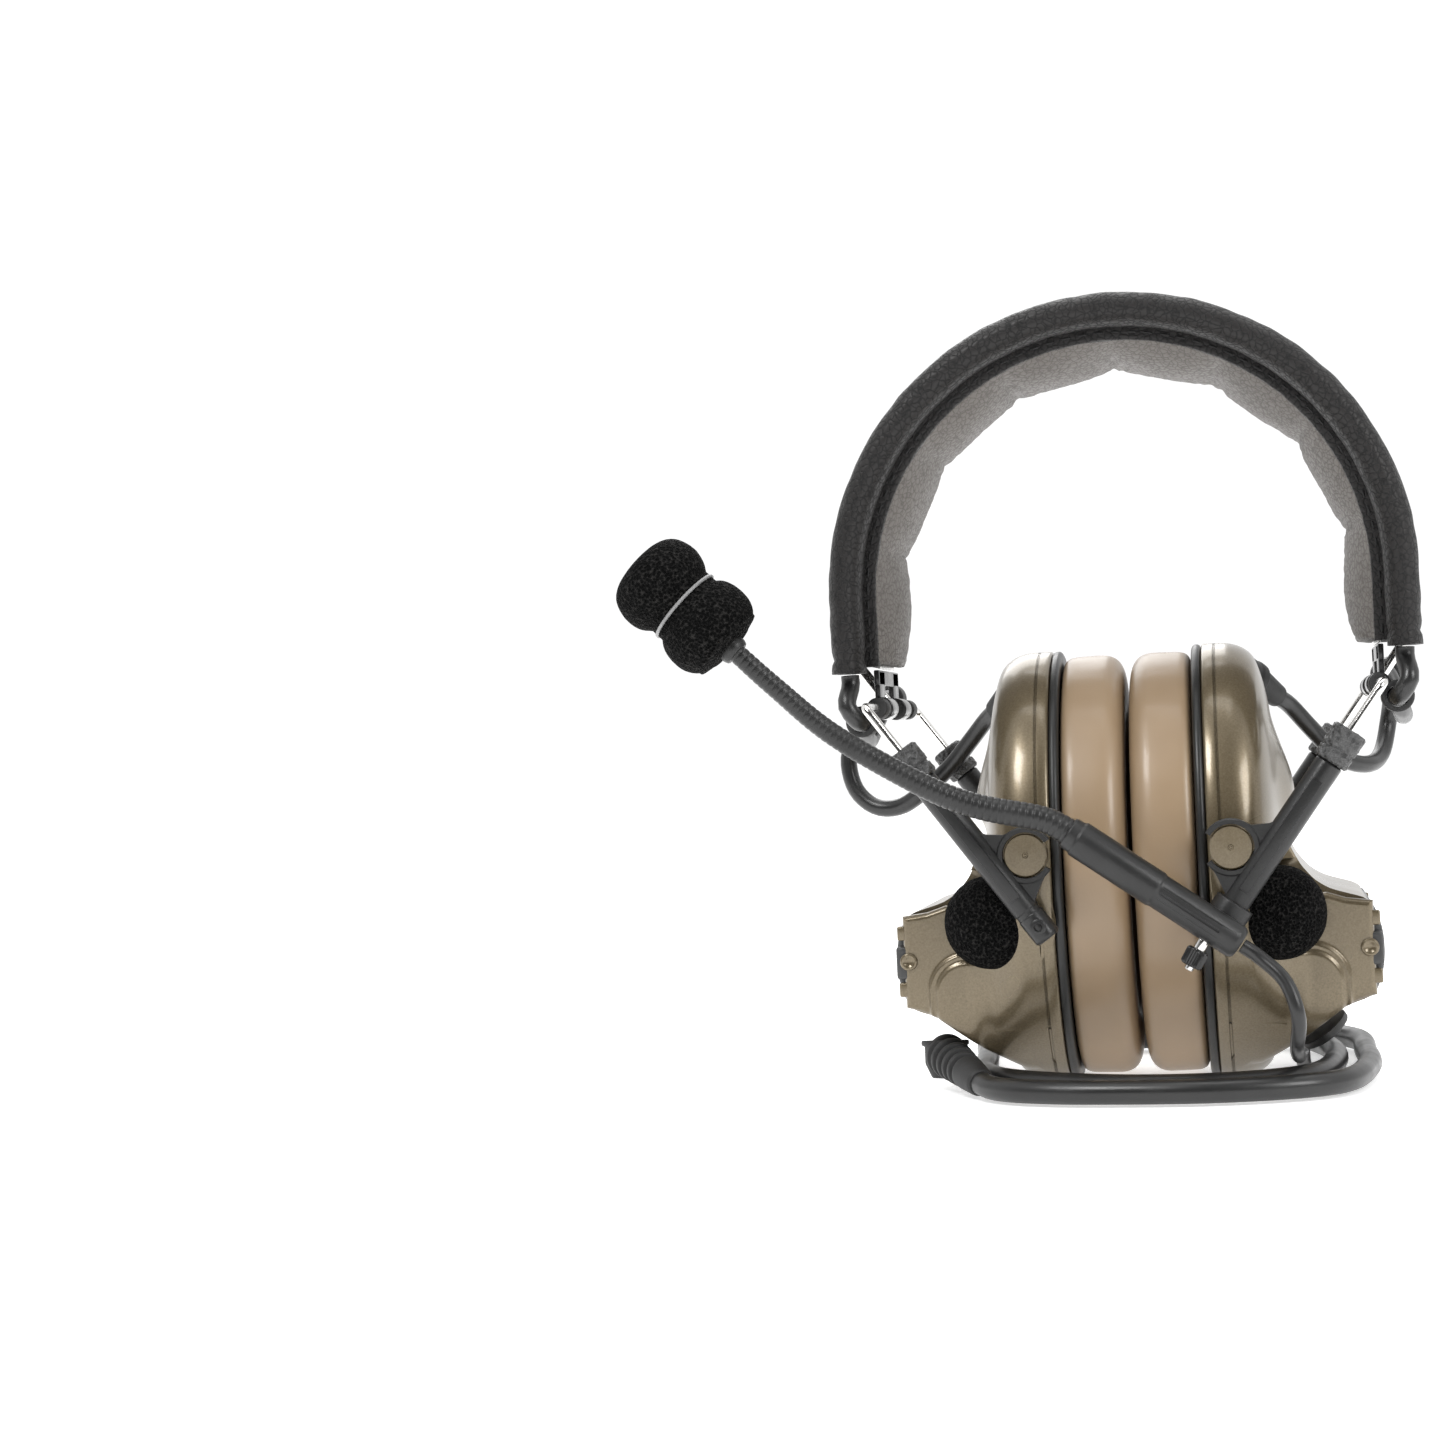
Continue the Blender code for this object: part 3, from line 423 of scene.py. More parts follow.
def box_mesh(name, low, high, bevel=0.6, segments=3):
    """A block between two corners, with rounded edges."""
    bm = bmesh.new()
    bmesh.ops.create_cube(bm, size=1.0)
    bmesh.ops.scale(bm, vec=Vector(high) - Vector(low), verts=bm.verts)
    bmesh.ops.translate(bm, vec=(Vector(low) + Vector(high)) / 2, verts=bm.verts)
    bmesh.ops.bevel(bm, geom=bm.edges[:], offset=bevel, segments=segments, affect="EDGES", profile=0.6)
    mesh = bpy.data.meshes.new(name)
    bm.to_mesh(mesh)
    bm.free()
    return mesh


def combined(mesh, tool, how="DIFFERENCE"):
    """The first mesh cut or joined with the second, both in mm."""
    target, cutter = bpy.data.objects.new("target", mesh), bpy.data.objects.new("tool", tool)
    for obj in (target, cutter):
        bpy.context.scene.collection.objects.link(obj)
    modifier = target.modifiers.new("cut", "BOOLEAN")
    modifier.operation, modifier.solver, modifier.object = how, "EXACT", cutter
    graph = bpy.context.evaluated_depsgraph_get()
    result = bpy.data.meshes.new_from_object(target.evaluated_get(graph))
    for obj in (target, cutter):
        bpy.data.objects.remove(obj, do_unlink=True)
    return result


def joined(name, meshes):
    """Several meshes as one, as separate solids."""
    bm = bmesh.new()
    for mesh in meshes:
        bm.from_mesh(mesh)
    result = bpy.data.meshes.new(name)
    bm.to_mesh(result)
    bm.free()
    return result


def for_side(mesh, side):
    """The left-hand mesh, or its mirror for the right."""
    if side > 0:
        return mesh
    copy = mesh.copy()
    copy.transform(Matrix.Scale(-1, 4, Vector((1, 0, 0))))
    copy.flip_normals()
    return copy


def piece(name, mesh, material, body, nodes=(), angle=40):
    """A finished piece that rides on a CAD body and stands for CAD nodes."""
    obj = place(mesh, name, material, angle)
    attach(obj, body)
    if nodes:
        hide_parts(*nodes)
    return obj


def step(x):
    """Smooth rise from 0 to 1 while x goes from 0 to 1."""
    x = np.clip(x, 0, 1)
    return x * x * (3 - 2 * x)


def on_arm(t, y=0.0):
    """The point t mm up the left arm's axis."""
    return Vector((26.7, y, 46.9)) + t * ARM_DIR


# ---------------------------------------------------------------- cups
def shell_height(y, z):
    """How far the moulded shell stands out at (y, z): dome, battery box, ramp, brow and recesses."""
    rho = np.clip(np.hypot(y / HALF_Y, (z - CUP_Z) / HALF_Z), 0, 1)
    dome = 24.0 + 7.6 * np.sqrt(1 - rho ** 3)
    profile_z = [0.6, 3.4, 9.2, 16.0, 17.4, 18.2, BOX_HIGH - 0.4, 39.3, 40.3, 42.6, 46.0, 51.0, 60.0,
                 64.0]
    profile_x = [22.0, 25.0, 33.5, 42.6, 46.0, 49.0, 49.0, 46.0, 41.5, 37.8, 35.0, 32.6, 27.0, 12.0]
    box = sum(np.interp(z + dz, profile_z, profile_x) for dz in np.linspace(-0.8, 0.8, 7)) / 7
    window = step((y - BOX_FRONT - 0.3) / 1.4) * step((BOX_REAR + 0.4 - y) / 2.0)
    height = dome + np.maximum(box - dome, 0) * window
    # The brow: a raised arch whose lower edge is a crisp curved ledge.
    ledge = 58.6 + 0.13 * y - 0.006 * y * y
    brow = 3.3 * np.exp(-np.abs(y / 13.5) ** 2.6) * step((79 - z) / 18) * step((z - ledge) / 1.7)
    hollow = 1.1 * np.exp(-np.abs(y / 15.0) ** 3) * step((ledge + 1.2 - z) / 1.5) * step((z - 50.5) / 6)
    height = height + brow - hollow
    # Dimple of the moulding pin.
    r = np.hypot(y + 0.4, z - 54.6)
    height = height - 0.5 * np.exp(-((r / 1.1) ** 2)) + 0.16 * np.exp(-(((r - 1.9) / 0.45) ** 2))
    # Recess under the battery door.
    bay = step((y - DOOR_LOW + 0.5) / 0.4) * step((DOOR_HIGH + 0.5 - y) / 0.4)
    bay = bay * step((z - DOOR_Z + 9.7) / 0.4) * step((DOOR_Z + 9.7 - z) / 0.4)
    height = height - 1.6 * bay
    # Recess of the talk-through microphone's windscreen.
    wx, wz = WINDSCREEN
    scoop = wx - np.sqrt(np.clip(10.6 ** 2 - (z - wz) ** 2, 0, None))
    scoop = np.where(np.abs(z - wz) < 10.6, scoop, 99)
    inside = step((-23.4 - y) / 1.0)
    height = np.where(height > scoop, height + (scoop - height) * inside, height)
    # The outer edge turns over in a soft radius.
    inset = (1 - rho) * 42
    edge = 3.6
    return height - (edge - np.sqrt(np.clip(edge ** 2 - np.clip(edge - inset, 0, edge) ** 2, 0, None)))


def spread(count, start, end, marks):
    """Stations from start to end that crowd round the marks, each a (place, width, weight)."""
    fine = np.linspace(start, end, 4000)
    density = np.ones_like(fine)
    for at, width, weight in marks:
        density += weight * np.exp(-(((fine - at) / width) ** 2))
    total = np.concatenate([[0], np.cumsum((density[1:] + density[:-1]) / 2)])
    return np.interp(np.linspace(0, total[-1], count), total, fine)


def shell_mesh(rows=208, columns=150):
    """Fine skin of the cup in rows along z, whose columns follow the box's ends, then its side wall."""
    top, bottom = CUP_Z + HALF_Z, CUP_Z - HALF_Z
    zs = spread(rows, bottom + 0.02, top - 0.02, [
        (bottom, 2.0, 5), (top, 2.0, 5), (BOX_LOW, 1.0, 3), (BOX_HIGH + 0.8, 1.2, 4), (59.5, 2.5, 1.6),
        (54.6, 2.0, 1.2), (26.3, 1.5, 1.5), (23.7, 0.7, 1.5), (31.8, 0.7, 1.5)])
    half = HALF_Y * np.sqrt(np.clip(1 - ((zs - CUP_Z) / HALF_Z) ** 2, 0, None))
    share = spread(columns, -1, 1, [
        (-1, 0.05, 4), (1, 0.05, 4), (-0.72, 0.035, 5), (-0.62, 0.03, 3), (0.93, 0.03, 3)])
    front = -np.minimum(-BOX_FRONT - 0.9, half * 0.93)
    rear = np.minimum(BOX_REAR - 0.5, half * 0.955)
    y = np.stack([np.interp(share, [-1, -0.72, 0.93, 1], [-h, f, r, h])
                  for h, f, r in zip(half, front, rear)])
    z = np.repeat(zs[:, None], columns, 1)
    x = shell_height(y, z)
    points = np.stack([x, y, z], -1)
    index = np.arange(rows * columns).reshape(rows, columns)
    faces = np.stack([index[:-1, :-1], index[1:, :-1], index[1:, 1:], index[:-1, 1:]], -1).reshape(-1, 4)
    border = np.concatenate([index[:-1, 0], index[-1, :-1], index[:0:-1, -1], index[0, :0:-1]])
    verts, quads = points.reshape(-1, 3).tolist(), faces.tolist()
    top_edge = points.reshape(-1, 3)[border]
    # Rings below the skin's border: side wall, groove, lip and rim.
    last, count = border.tolist(), len(border)
    rings = [(RIM_X + (top_edge[:, 0] - RIM_X) * k, 0.0) for k in (0.8, 0.5, 0.36)]
    for at, inset in ((19.3, 0.0), (19.15, 0.3), (18.75, 0.3), (18.6, -0.05), (16.7, -0.05),
                      (RIM_X, 0.3), (RIM_X, 2.0), (17.5, 2.1)):
        rings.append((np.full(count, at), inset))
    for at, inset in rings:
        shrink_y, shrink_z = 1 - inset / HALF_Y, 1 - inset / HALF_Z
        ring_z = CUP_Z + (top_edge[:, 2] - CUP_Z) * shrink_z
        start = len(verts)
        verts += np.stack([at, top_edge[:, 1] * shrink_y, ring_z], -1).tolist()
        ids = list(range(start, start + count))
        quads += [[last[i], last[(i + 1) % count], ids[(i + 1) % count], ids[i]] for i in range(count)]
        last = ids
    return solid("shell", [(x, y, max(z, 0.0)) for x, y, z in verts], quads)


def oval(x, half_y, half_z, sides=120):
    """A ring round the cup's centre at x."""
    return [(x, half_y * math.cos(a), CUP_Z + half_z * math.sin(a)) for a in around(sides)]


def box_end_mesh():
    """Front of the battery box: a flat end above a swept shoulder that runs into the rim."""
    xs = np.concatenate([np.linspace(19.5, 34, 24), np.linspace(34.3, 48, 64), np.linspace(48.1, BOX_X, 12)])
    share = (1 - np.cos(np.linspace(0, math.pi, 110))) / 2
    low = np.interp(xs, [19.0, 25.0, 33.5, 42.6, 46.0, BOX_X], [2.4, 3.4, 9.2, 16.0, 17.6, 18.5])
    high = np.interp(xs, [19, 40, 44, BOX_X], [38.0, 40.2, 38.9, 38.2])
    x = np.repeat(xs[:, None], len(share), 1)
    z = low[:, None] + (high - low)[:, None] * share
    half = HALF_Y * np.sqrt(np.clip(1 - ((z - CUP_Z) / HALF_Z) ** 2, 0, None))
    plane = -28.7 + 3.0 * np.logaddexp(0, (26.1 - half) / 3.0)
    y = -half + (plane + half) * step((x - 23) / 14)
    swept = np.hypot(np.clip(x - 36, 0, None), np.clip(z - 21.5, 0, None))
    y = y - (0.5 * step((8.5 - swept) / 0.7) + 0.6 * step((7.0 - swept) / 0.9)) * step((x - 30) / 5)
    y = y - 0.25 * np.exp(-(((swept - 7.9) / 0.4) ** 2)) * step((x - 33) / 4)
    away = np.minimum.reduce([BOX_X - x + 0 * z, (z - low[:, None]) * 0.85, high[:, None] - z])
    radius = 1.3
    y = y + radius - np.sqrt(np.clip(radius ** 2 - np.clip(radius - away, 0, radius) ** 2, 0, None))
    rings = []
    for i, at in enumerate(xs):
        ring = list(zip(x[i], y[i], z[i]))
        back = max(y[i].max() + 0.1, -26.3)
        rings.append(ring + [(at, back, z[i, -1]), (at, back, z[i, 0])])
    boss = turned("boss", (BOX_X - 1.1, -28.2, 28.5), (0, -1, 0),
                  [(0, 1.9), (0.7, 1.9), (0.95, 1.65), (0.95, 1.15), (0.6, 0.9), (0.6, 0.02)], 40)
    parts = [grid_mesh("box_end", rings), boss]
    for near, far in ((-28.1, -26.0), (DOOR_HIGH + 0.4, DOOR_HIGH + 2.2)):
        for at in (20.9, 33.0):
            parts.append(box_mesh("tab", (47.0, near, at), (50.7, far, at + 3.1), 0.5, 3))
    return joined("box_end", parts)


def base_mesh():
    """Black mounting plate, whose rounded bead is the dark line between shell and cushion."""
    x0, x1 = 14.05, 16.1
    section = [(x1, 20, 20), (x1, 38.2, 46.7), (x1 - 0.25, 38.75, 47.25), (x1 - 0.7, HALF_Y, HALF_Z),
               (x0 + 0.7, HALF_Y, HALF_Z), (x0 + 0.3, 38.7, 47.2), (x0, 38.1, 46.6), (x0, 20, 20)]
    return grid_mesh("base", [[(x, y, max(z, 0.0)) for x, y, z in oval(*ring)] for ring in section])


def cushion_mesh():
    """Soft ring, flat on its rim and rounder towards the head, with faint unevenness."""
    low, high = 0.5, 14.0
    middle, half = (low + high) / 2, (high - low) / 2
    rings = []
    for a in around(48):
        squareness = 0.34 if math.sin(a) > 0 else 0.62
        across = math.copysign(abs(math.cos(a)) ** squareness, math.cos(a)) / 2 + 0.5
        x = middle + half * math.copysign(abs(math.sin(a)) ** squareness, math.sin(a))
        ring = []
        for b in around(150):
            swell = 0.25 * noise.noise(Vector((x * 0.12, 3 * math.cos(b), 3 * math.sin(b))))
            half_y = 21.5 + 16.9 * across + swell
            half_z = 29.5 + 16.6 * across + swell
            ring.append((x, half_y * math.cos(b), CUP_Z + half_z * math.sin(b)))
        rings.append(ring)
    return grid_mesh("cushion", rings, closed=True)


def door_mesh():
    """Battery door: arched plate with end latches, a central grip slot and two plain arrow ridges."""
    rings = []
    ends = [(0.0, 1.4), (0.15, 0.8), (0.5, 0.3), (1.2, 0.0)]
    stations = [(DOOR_LOW + a, b) for a, b in ends]
    stations += [(y, 0.0) for y in np.linspace(DOOR_LOW + 3, DOOR_HIGH - 3, 20)]
    stations += [(DOOR_HIGH - a, b) for a, b in ends[::-1]]
    for y, drop in stations:
        ring = []
        for k in range(41):
            t = -1 + k / 20
            round_off = 0.7 - math.sqrt(max(0.49 - max(0.7 - (1 - abs(t)) * 9.4, 0) ** 2, 0))
            ring.append((51.45 - 2.2 * abs(t) ** 2.2 - round_off - drop, y, DOOR_Z + 9.4 * t))
        rings.append(ring + [(47.2, y, DOOR_Z + 9.4), (47.2, y, DOOR_Z - 9.4)])
    plate = grid_mesh("door", rings)
    middle = (DOOR_LOW + DOOR_HIGH) / 2
    slot = box_mesh("slot", (50.85, middle - 9, DOOR_Z - 1.7), (56, middle + 9, DOOR_Z + 1.7), 0.25, 2)
    bar = box_mesh("bar", (50.5, middle - 8.2, DOOR_Z - 0.9), (51.35, middle + 8.2, DOOR_Z + 0.9), 0.2, 2)
    parts = [combined(plate, slot), bar]
    for near, far in ((-28.3, DOOR_LOW + 1.0), (DOOR_HIGH - 1.0, DOOR_HIGH + 2.3)):
        parts.append(box_mesh("latch", (48.0, near, DOOR_Z - 3.5), (51.1, far, DOOR_Z + 3.5), 0.8, 4))
    for sign in (-1, 1):
        for k in range(2):
            y = middle + sign * (14.5 + 5.0 * k)
            parts.append(swept_tube("ridge", [(51.3, y - sign * 2.4, DOOR_Z - 2), (51.35, y, DOOR_Z),
                                              (51.3, y - sign * 2.4, DOOR_Z + 2)], 0.26, 8))
    return joined("door", parts)


def off_axis(point, start, direction):
    """The part of the way from start to the point that is square to the direction."""
    axis, away = Vector(direction).normalized(), point - Vector(start)
    return away - away.dot(axis) * axis


def foam_mesh(name, start, direction, profile, rough=0.05, sides=96):
    """Foam body with a faintly uneven surface; its pores are in the material."""
    mesh = turned(name, start, direction, profile, sides)
    for vert in mesh.vertices:
        radial = off_axis(vert.co, start, direction)
        if radial.length > 0.5:
            swell = noise.noise(vert.co * 0.3) * 3 + noise.noise(vert.co * 2.5)
            vert.co += radial.normalized() * rough * swell
    return mesh


def filled_profile(points, spacing=0.7):
    """Extra stations along a turned profile, so that its surface can carry fine relief."""
    result = [points[0]]
    for (a0, r0), (a1, r1) in zip(points, points[1:]):
        count = max(1, round(math.hypot(a1 - a0, r1 - r0) / spacing))
        result += [(a0 + (a1 - a0) * k / count, r0 + (r1 - r0) * k / count) for k in range(1, count + 1)]
    return result


def windscreen_mesh():
    """Round foam cap of the talk-through microphone."""
    x, z = WINDSCREEN
    turns = [math.radians(5 * i) for i in range(19)]
    profile = [(0, 6.0), (0.6, 8.6), (2.5, 9.7)]
    profile += [(6.0 + 8.6 * math.sin(a) ** 0.9, 0.02 + 9.9 * max(math.cos(a), 0) ** 0.8) for a in turns]
    profile = filled_profile(profile)
    return foam_mesh("windscreen", (x, -24.6, z), (0, -1, 0), profile)


def stud_mesh(sign):
    """Flat pivot stud on which a C-clip turns."""
    profile = [(0, 4.2), (0.3, 4.5), (5.0, 4.5), (5.25, 4.25), (5.3, 0.65), (5.1, 0.5), (5.1, 0.3),
               (5.25, 0.2), (5.25, 0.02)]
    return turned("stud", (STUD[0], sign * 39.1, STUD[1]), (0, sign, 0), profile)


def boot_mesh():
    """Stepped strain relief where the jumper enters the cup."""
    end, root = Vector(JUMPER_ROUTE[-1]), Vector(BOOT_ROOT)
    length = (end - root).length
    profile = [(-1, 3.9), (length * 0.15, 3.8), (length * 0.2, 4.1), (length * 0.34, 4.1),
               (length * 0.38, 3.5), (length * 0.62, 3.1), (length - 0.5, 2.6), (length, 2.3), (length, 0.05)]
    return turned("boot", root, end - root, rounded(profile, 0.5), 36)


def make_cup(name, side):
    """One ear cup with everything that it carries."""
    body = name + "_cup"
    shell = joined("shell", [shell_mesh(), box_end_mesh()])
    piece(name + "_shell_skin", for_side(shell, side), OLIVE, body, [name + "_cup_shell"],
          angle=60)
    piece(name + "_base_ring", for_side(base_mesh(), side), BLACK, body,
          [name + "_base_plate"])
    cushion = piece(name + "_cushion", for_side(cushion_mesh(), side), TAN, body,
                    [name + "_ear_cushion"], angle=60)
    piece(name + "_door", for_side(door_mesh(), side), DOOR, name + "_door",
          [name + "_battery_door"])
    piece(name + "_mic_foam", for_side(windscreen_mesh(), side), FOAM, body,
          [name + "_windscreen"], angle=80)
    for where, sign in (("front", -1), ("rear", 1)):
        piece(f"{name}_{where}_pivot_stud", for_side(stud_mesh(sign), side), OLIVE, body,
              [f"{name}_{where}_stud"])
    boot = place(for_side(boot_mesh(), side), name + "_boot", RUBBER)
    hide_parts(name + "_jumper_boot")
    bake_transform(boot)
    make_arms(name, side)
    make_yoke(name, side)
    for node, material in ((f"{name}_speaker", BLACK), (f"{name}_circuit_board", BOARD),
                           (f"{name}_foam_liner", FOAM), (f"{name}_upper_cell", CELL),
                           (f"{name}_lower_cell", CELL), (f"{name}_talk_through_mic", BLACK)):
        repaint(node, material)


def repaint(node, material):
    """Gives a CAD node that stays one of this script's materials."""
    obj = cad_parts[node]
    obj.data.materials.clear()
    obj.data.materials.append(material)


def in_frame(point, side=1):
    """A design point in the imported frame; side -1 mirrors it."""
    p = Vector(point)
    return (Vector((side * p.x, p.y, p.z)) - CENTRE) * MM


# ---------------------------------------------------------------- arms and yokes
def c_clip_mesh(y):
    """Open ring that snaps round the pivot stud."""
    outer, inner, mouth = 5.95, 4.78, math.radians(32)
    section = [(inner, -1.6), (inner, 1.6), (outer - 0.3, 1.6), (outer, 1.3), (outer, -1.3),
               (outer - 0.3, -1.6)]
    rings = []
    for k in range(61):
        a = math.pi + mouth + (2 * math.pi - 2 * mouth) * k / 60
        ca, sa = math.cos(a), math.sin(a)
        rings.append([(STUD[0] + r * ca, y + dy, STUD[1] + r * sa) for r, dy in section])
    return grid_mesh("clip", rings)


def make_arms(name, side):
    """Front and rear stirrup arm: bar, C-clip, web, foot and knurled cap."""
    body = name + "_arms"
    for where, sign in (("front", -1), ("rear", 1)):
        y = sign * ARM_Y
        profile = rounded([(0, 0.05), (0, 2.5), (0.6, ARM_R), (6, ARM_R), (6.2, 2.7), (7.2, 2.7),
                           (7.4, ARM_R), (41.6, ARM_R), (41.9, 2.5), (42.4, 2.5)], 0.25)
        bar = turned("bar", on_arm(ARM_LOW, y), ARM_DIR, profile + [(42.4, 1.4), (20, 1.35), (20, 0.05)], 40)
        rib = box_mesh("rib", (-1.1, -0.35, 0), (1.1, 0.35, 27), 0.2, 2)
        rib.transform(Matrix.Translation(on_arm(-6.0, y + sign * ARM_R * 0.94)) @
                      Matrix.Rotation(ARM_TILT, 4, "Y"))
        clip = c_clip_mesh(y)
        outline = [(22.5, 56.5), (25.5, 55.4), (29.0, 55.6), (34.3, 57.4), (20.2, 38.0), (19.3, 42.0),
                   (17.9, 45.2), (16.6, 47.6), (20.0, 51.0)]
        web = grid_mesh("web", [[(x, y + dy, z) for x, z in outline] for dy in (-1.25, 1.25)])
        web = combined(web, turned("eye", (STUD[0], y - 4, STUD[1]), (0, 1, 0), [(0, 4.9), (8, 4.9)], 60))
        foot = turned("foot", on_arm(ARM_LOW + 3.2, y + sign * 2.2), (0, sign, 0),
                      [(0, 1.7), (0.9, 1.7), (1.1, 1.45), (1.1, 0.9), (0.5, 0.8), (0.5, 0.02)], 32)
        mesh = joined("arm", [bar, rib, clip, web, foot])
        piece(f"{name}_{where}_arm_bar", for_side(mesh, side), BLACK, body,
              [f"{name}_{where}_arm"])
        cap = [(0, 2.6), (0, CAP_R - 0.35), (0.4, CAP_R), (2.3, CAP_R), (2.5, CAP_R - 0.3),
               (3.0, CAP_R - 0.3), (3.2, CAP_R), (7.2, CAP_R), (7.6, CAP_R - 0.4), (7.7, 1.4),
               (5.0, 1.3), (5.0, 0.05)]
        mesh = turned("cap", on_arm(CAP_LOW, y), ARM_DIR, filled_profile(cap, 0.5), 56)
        for vert in mesh.vertices:
            vert.co += vert.normal * 0.16 * noise.noise(vert.co * 1.9)
        piece(f"{name}_{where}_arm_cap", for_side(mesh, side), KNURL, body, angle=70)


def wire_path():
    """Route of the spring wire from one arm over its bearing to the other."""
    leg = [on_arm(3.0, -ARM_Y), on_arm(YOKE_T, -ARM_Y), on_arm(YOKE_T, -4.2), Vector((61.0, -4.2, 94.2)),
           Vector((61.0, -4.2, 98.4))]
    other = [Vector((p.x, -p.y, p.z)) for p in reversed(leg)]
    return rounded_path(leg + other, 2.2, 8)


def clip_mesh(low, offset):
    """Moulded figure-of-eight clip that holds the cord beside the wire."""
    pivot = on_arm(YOKE_T)
    x, z = pivot.x + offset[0], pivot.z + offset[1]
    ends = rounded([(0, 0.05), (0, 1.0), (0, 3.4), (7, 3.4), (7, 0.05)], 0.5)
    big = turned("big", (x, low, z), (0, 1, 0), ends, 40)
    ends = rounded([(0.1, 0.05), (0.1, 2.3), (6.9, 2.3), (6.9, 0.05)], 0.5)
    small = turned("small", (pivot.x, low, pivot.z), (0, 1, 0), ends, 32)
    clip = combined(big, small, "UNION")
    hole = turned("hole", (x, low - 5, z), (0, 1, 0), [(0, JUMPER_R + 0.3), (17, JUMPER_R + 0.3)], 32)
    return combined(clip, hole)


def bearing_mesh():
    """Bearing blocks on the wire, hung from the plate under the headband's spring."""
    pivot = on_arm(YOKE_T)
    barrels = []
    for low in (-16.5, 6.5):
        profile = rounded([(0, 0.9), (0, 2.5), (10, 2.5), (10, 0.9)], 0.35)
        barrels.append(turned("barrel", (pivot.x, low, pivot.z), (0, 1, 0), profile, 36))
        barrels.append(box_mesh("web", (53.4, low + 0.6, pivot.z + 1), (54.6, low + 9.4, 91.7), 0.3, 2))
    barrels.append(box_mesh("bridge", (53.4, -16.4, 88.4), (54.6, 16.4, 91.8), 0.3, 2))
    return joined("bearing", barrels)


def make_yoke(name, side):
    """Spring wire with its clips and bearing, and the jumper cable in two runs."""
    body = name + "_yoke"
    piece(name + "_wire", for_side(swept_tube("wire", wire_path(), WIRE_R, 20), side), STEEL, body,
          [name + "_yoke_wire"])
    piece(name + "_bearing", for_side(bearing_mesh(), side), SHINY, "headband",
          [name + "_yoke_bearing"])
    for where, low, offset in (("front", -24.6, (3.6, -2.8)), ("rear", 22.6, (3.5, 2.7))):
        piece(f"{name}_{where}_cord_clip", for_side(clip_mesh(low, offset), side), RUBBER, body,
              [f"{name}_{where}_clip"])
    # The jumper cord in two runs that meet inside the rear clip.
    whole = smooth_route(JUMPER_ROUTE if side > 0 else RIGHT_JUMPER_ROUTE, 1.6)
    meet = min(range(len(whole)), key=lambda i: abs(whole[i].y - 26.0) + abs(whole[i].z - 86.0))
    for part, run, bodies in (("band", whole[: meet + 1], ("headband", body)),
                              ("loop", whole[meet:], (body, name + "_arms"))):
        obj = place(swept_tube("jumper", run, JUMPER_R, 20), f"{name}_jumper_{part}", CORD)
        if part == "loop":
            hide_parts(name + "_jumper_cable")
            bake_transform(obj)
        else:
            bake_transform(obj)


# ---------------------------------------------------------------- headband
def arch(s, radius, y, end_z):
    """The point at share s of the way over the headband, from the wearer's left to right."""
    straight = BAND_Z - end_z
    total = 2 * straight + math.pi * ARCH_R
    d = s * total
    if d < straight:
        return (radius, y, end_z + d)
    if d > total - straight:
        return (-radius, y, end_z + total - d)
    a = (d - straight) / ARCH_R
    return (radius * math.cos(a), y, BAND_Z + radius * math.sin(a))


def strap_rings(section, end_z, count=220, relief=None):
    """A section in (radius, y) carried over the arch."""
    rings = []
    for i in range(count):
        s = i / (count - 1)
        ring = []
        for r, y in section:
            extra = relief(s, r, y) if relief else 0.0
            ring.append(arch(s, r + extra, y, end_z))
        rings.append(ring)
    return rings


def rounded_section(corners, radius=0.8, steps=4):
    """A closed section whose corners are arcs."""
    points = [Vector(p) for p in corners]
    path = []
    for i, corner in enumerate(points):
        before, after = points[i - 1], points[(i + 1) % len(points)]
        cut = min(radius, 0.48 * (before - corner).length, 0.48 * (after - corner).length)
        a, b = (before - corner).normalized() * cut, (after - corner).normalized() * cut
        path += [corner + a * (1 - k / steps) ** 2 + b * (k / steps) ** 2 for k in range(steps + 1)]
    return [tuple(p) for p in path]


def subdivided(section, spacing=1.2):
    """A closed section with points at about that spacing."""
    result = []
    for a, b in zip(section, section[1:] + section[:1]):
        count = max(1, round(math.hypot(b[0] - a[0], b[1] - a[1]) / spacing))
        result += [(a[0] + (b[0] - a[0]) * k / count, a[1] + (b[1] - a[1]) * k / count) for k in range(count)]
    return result


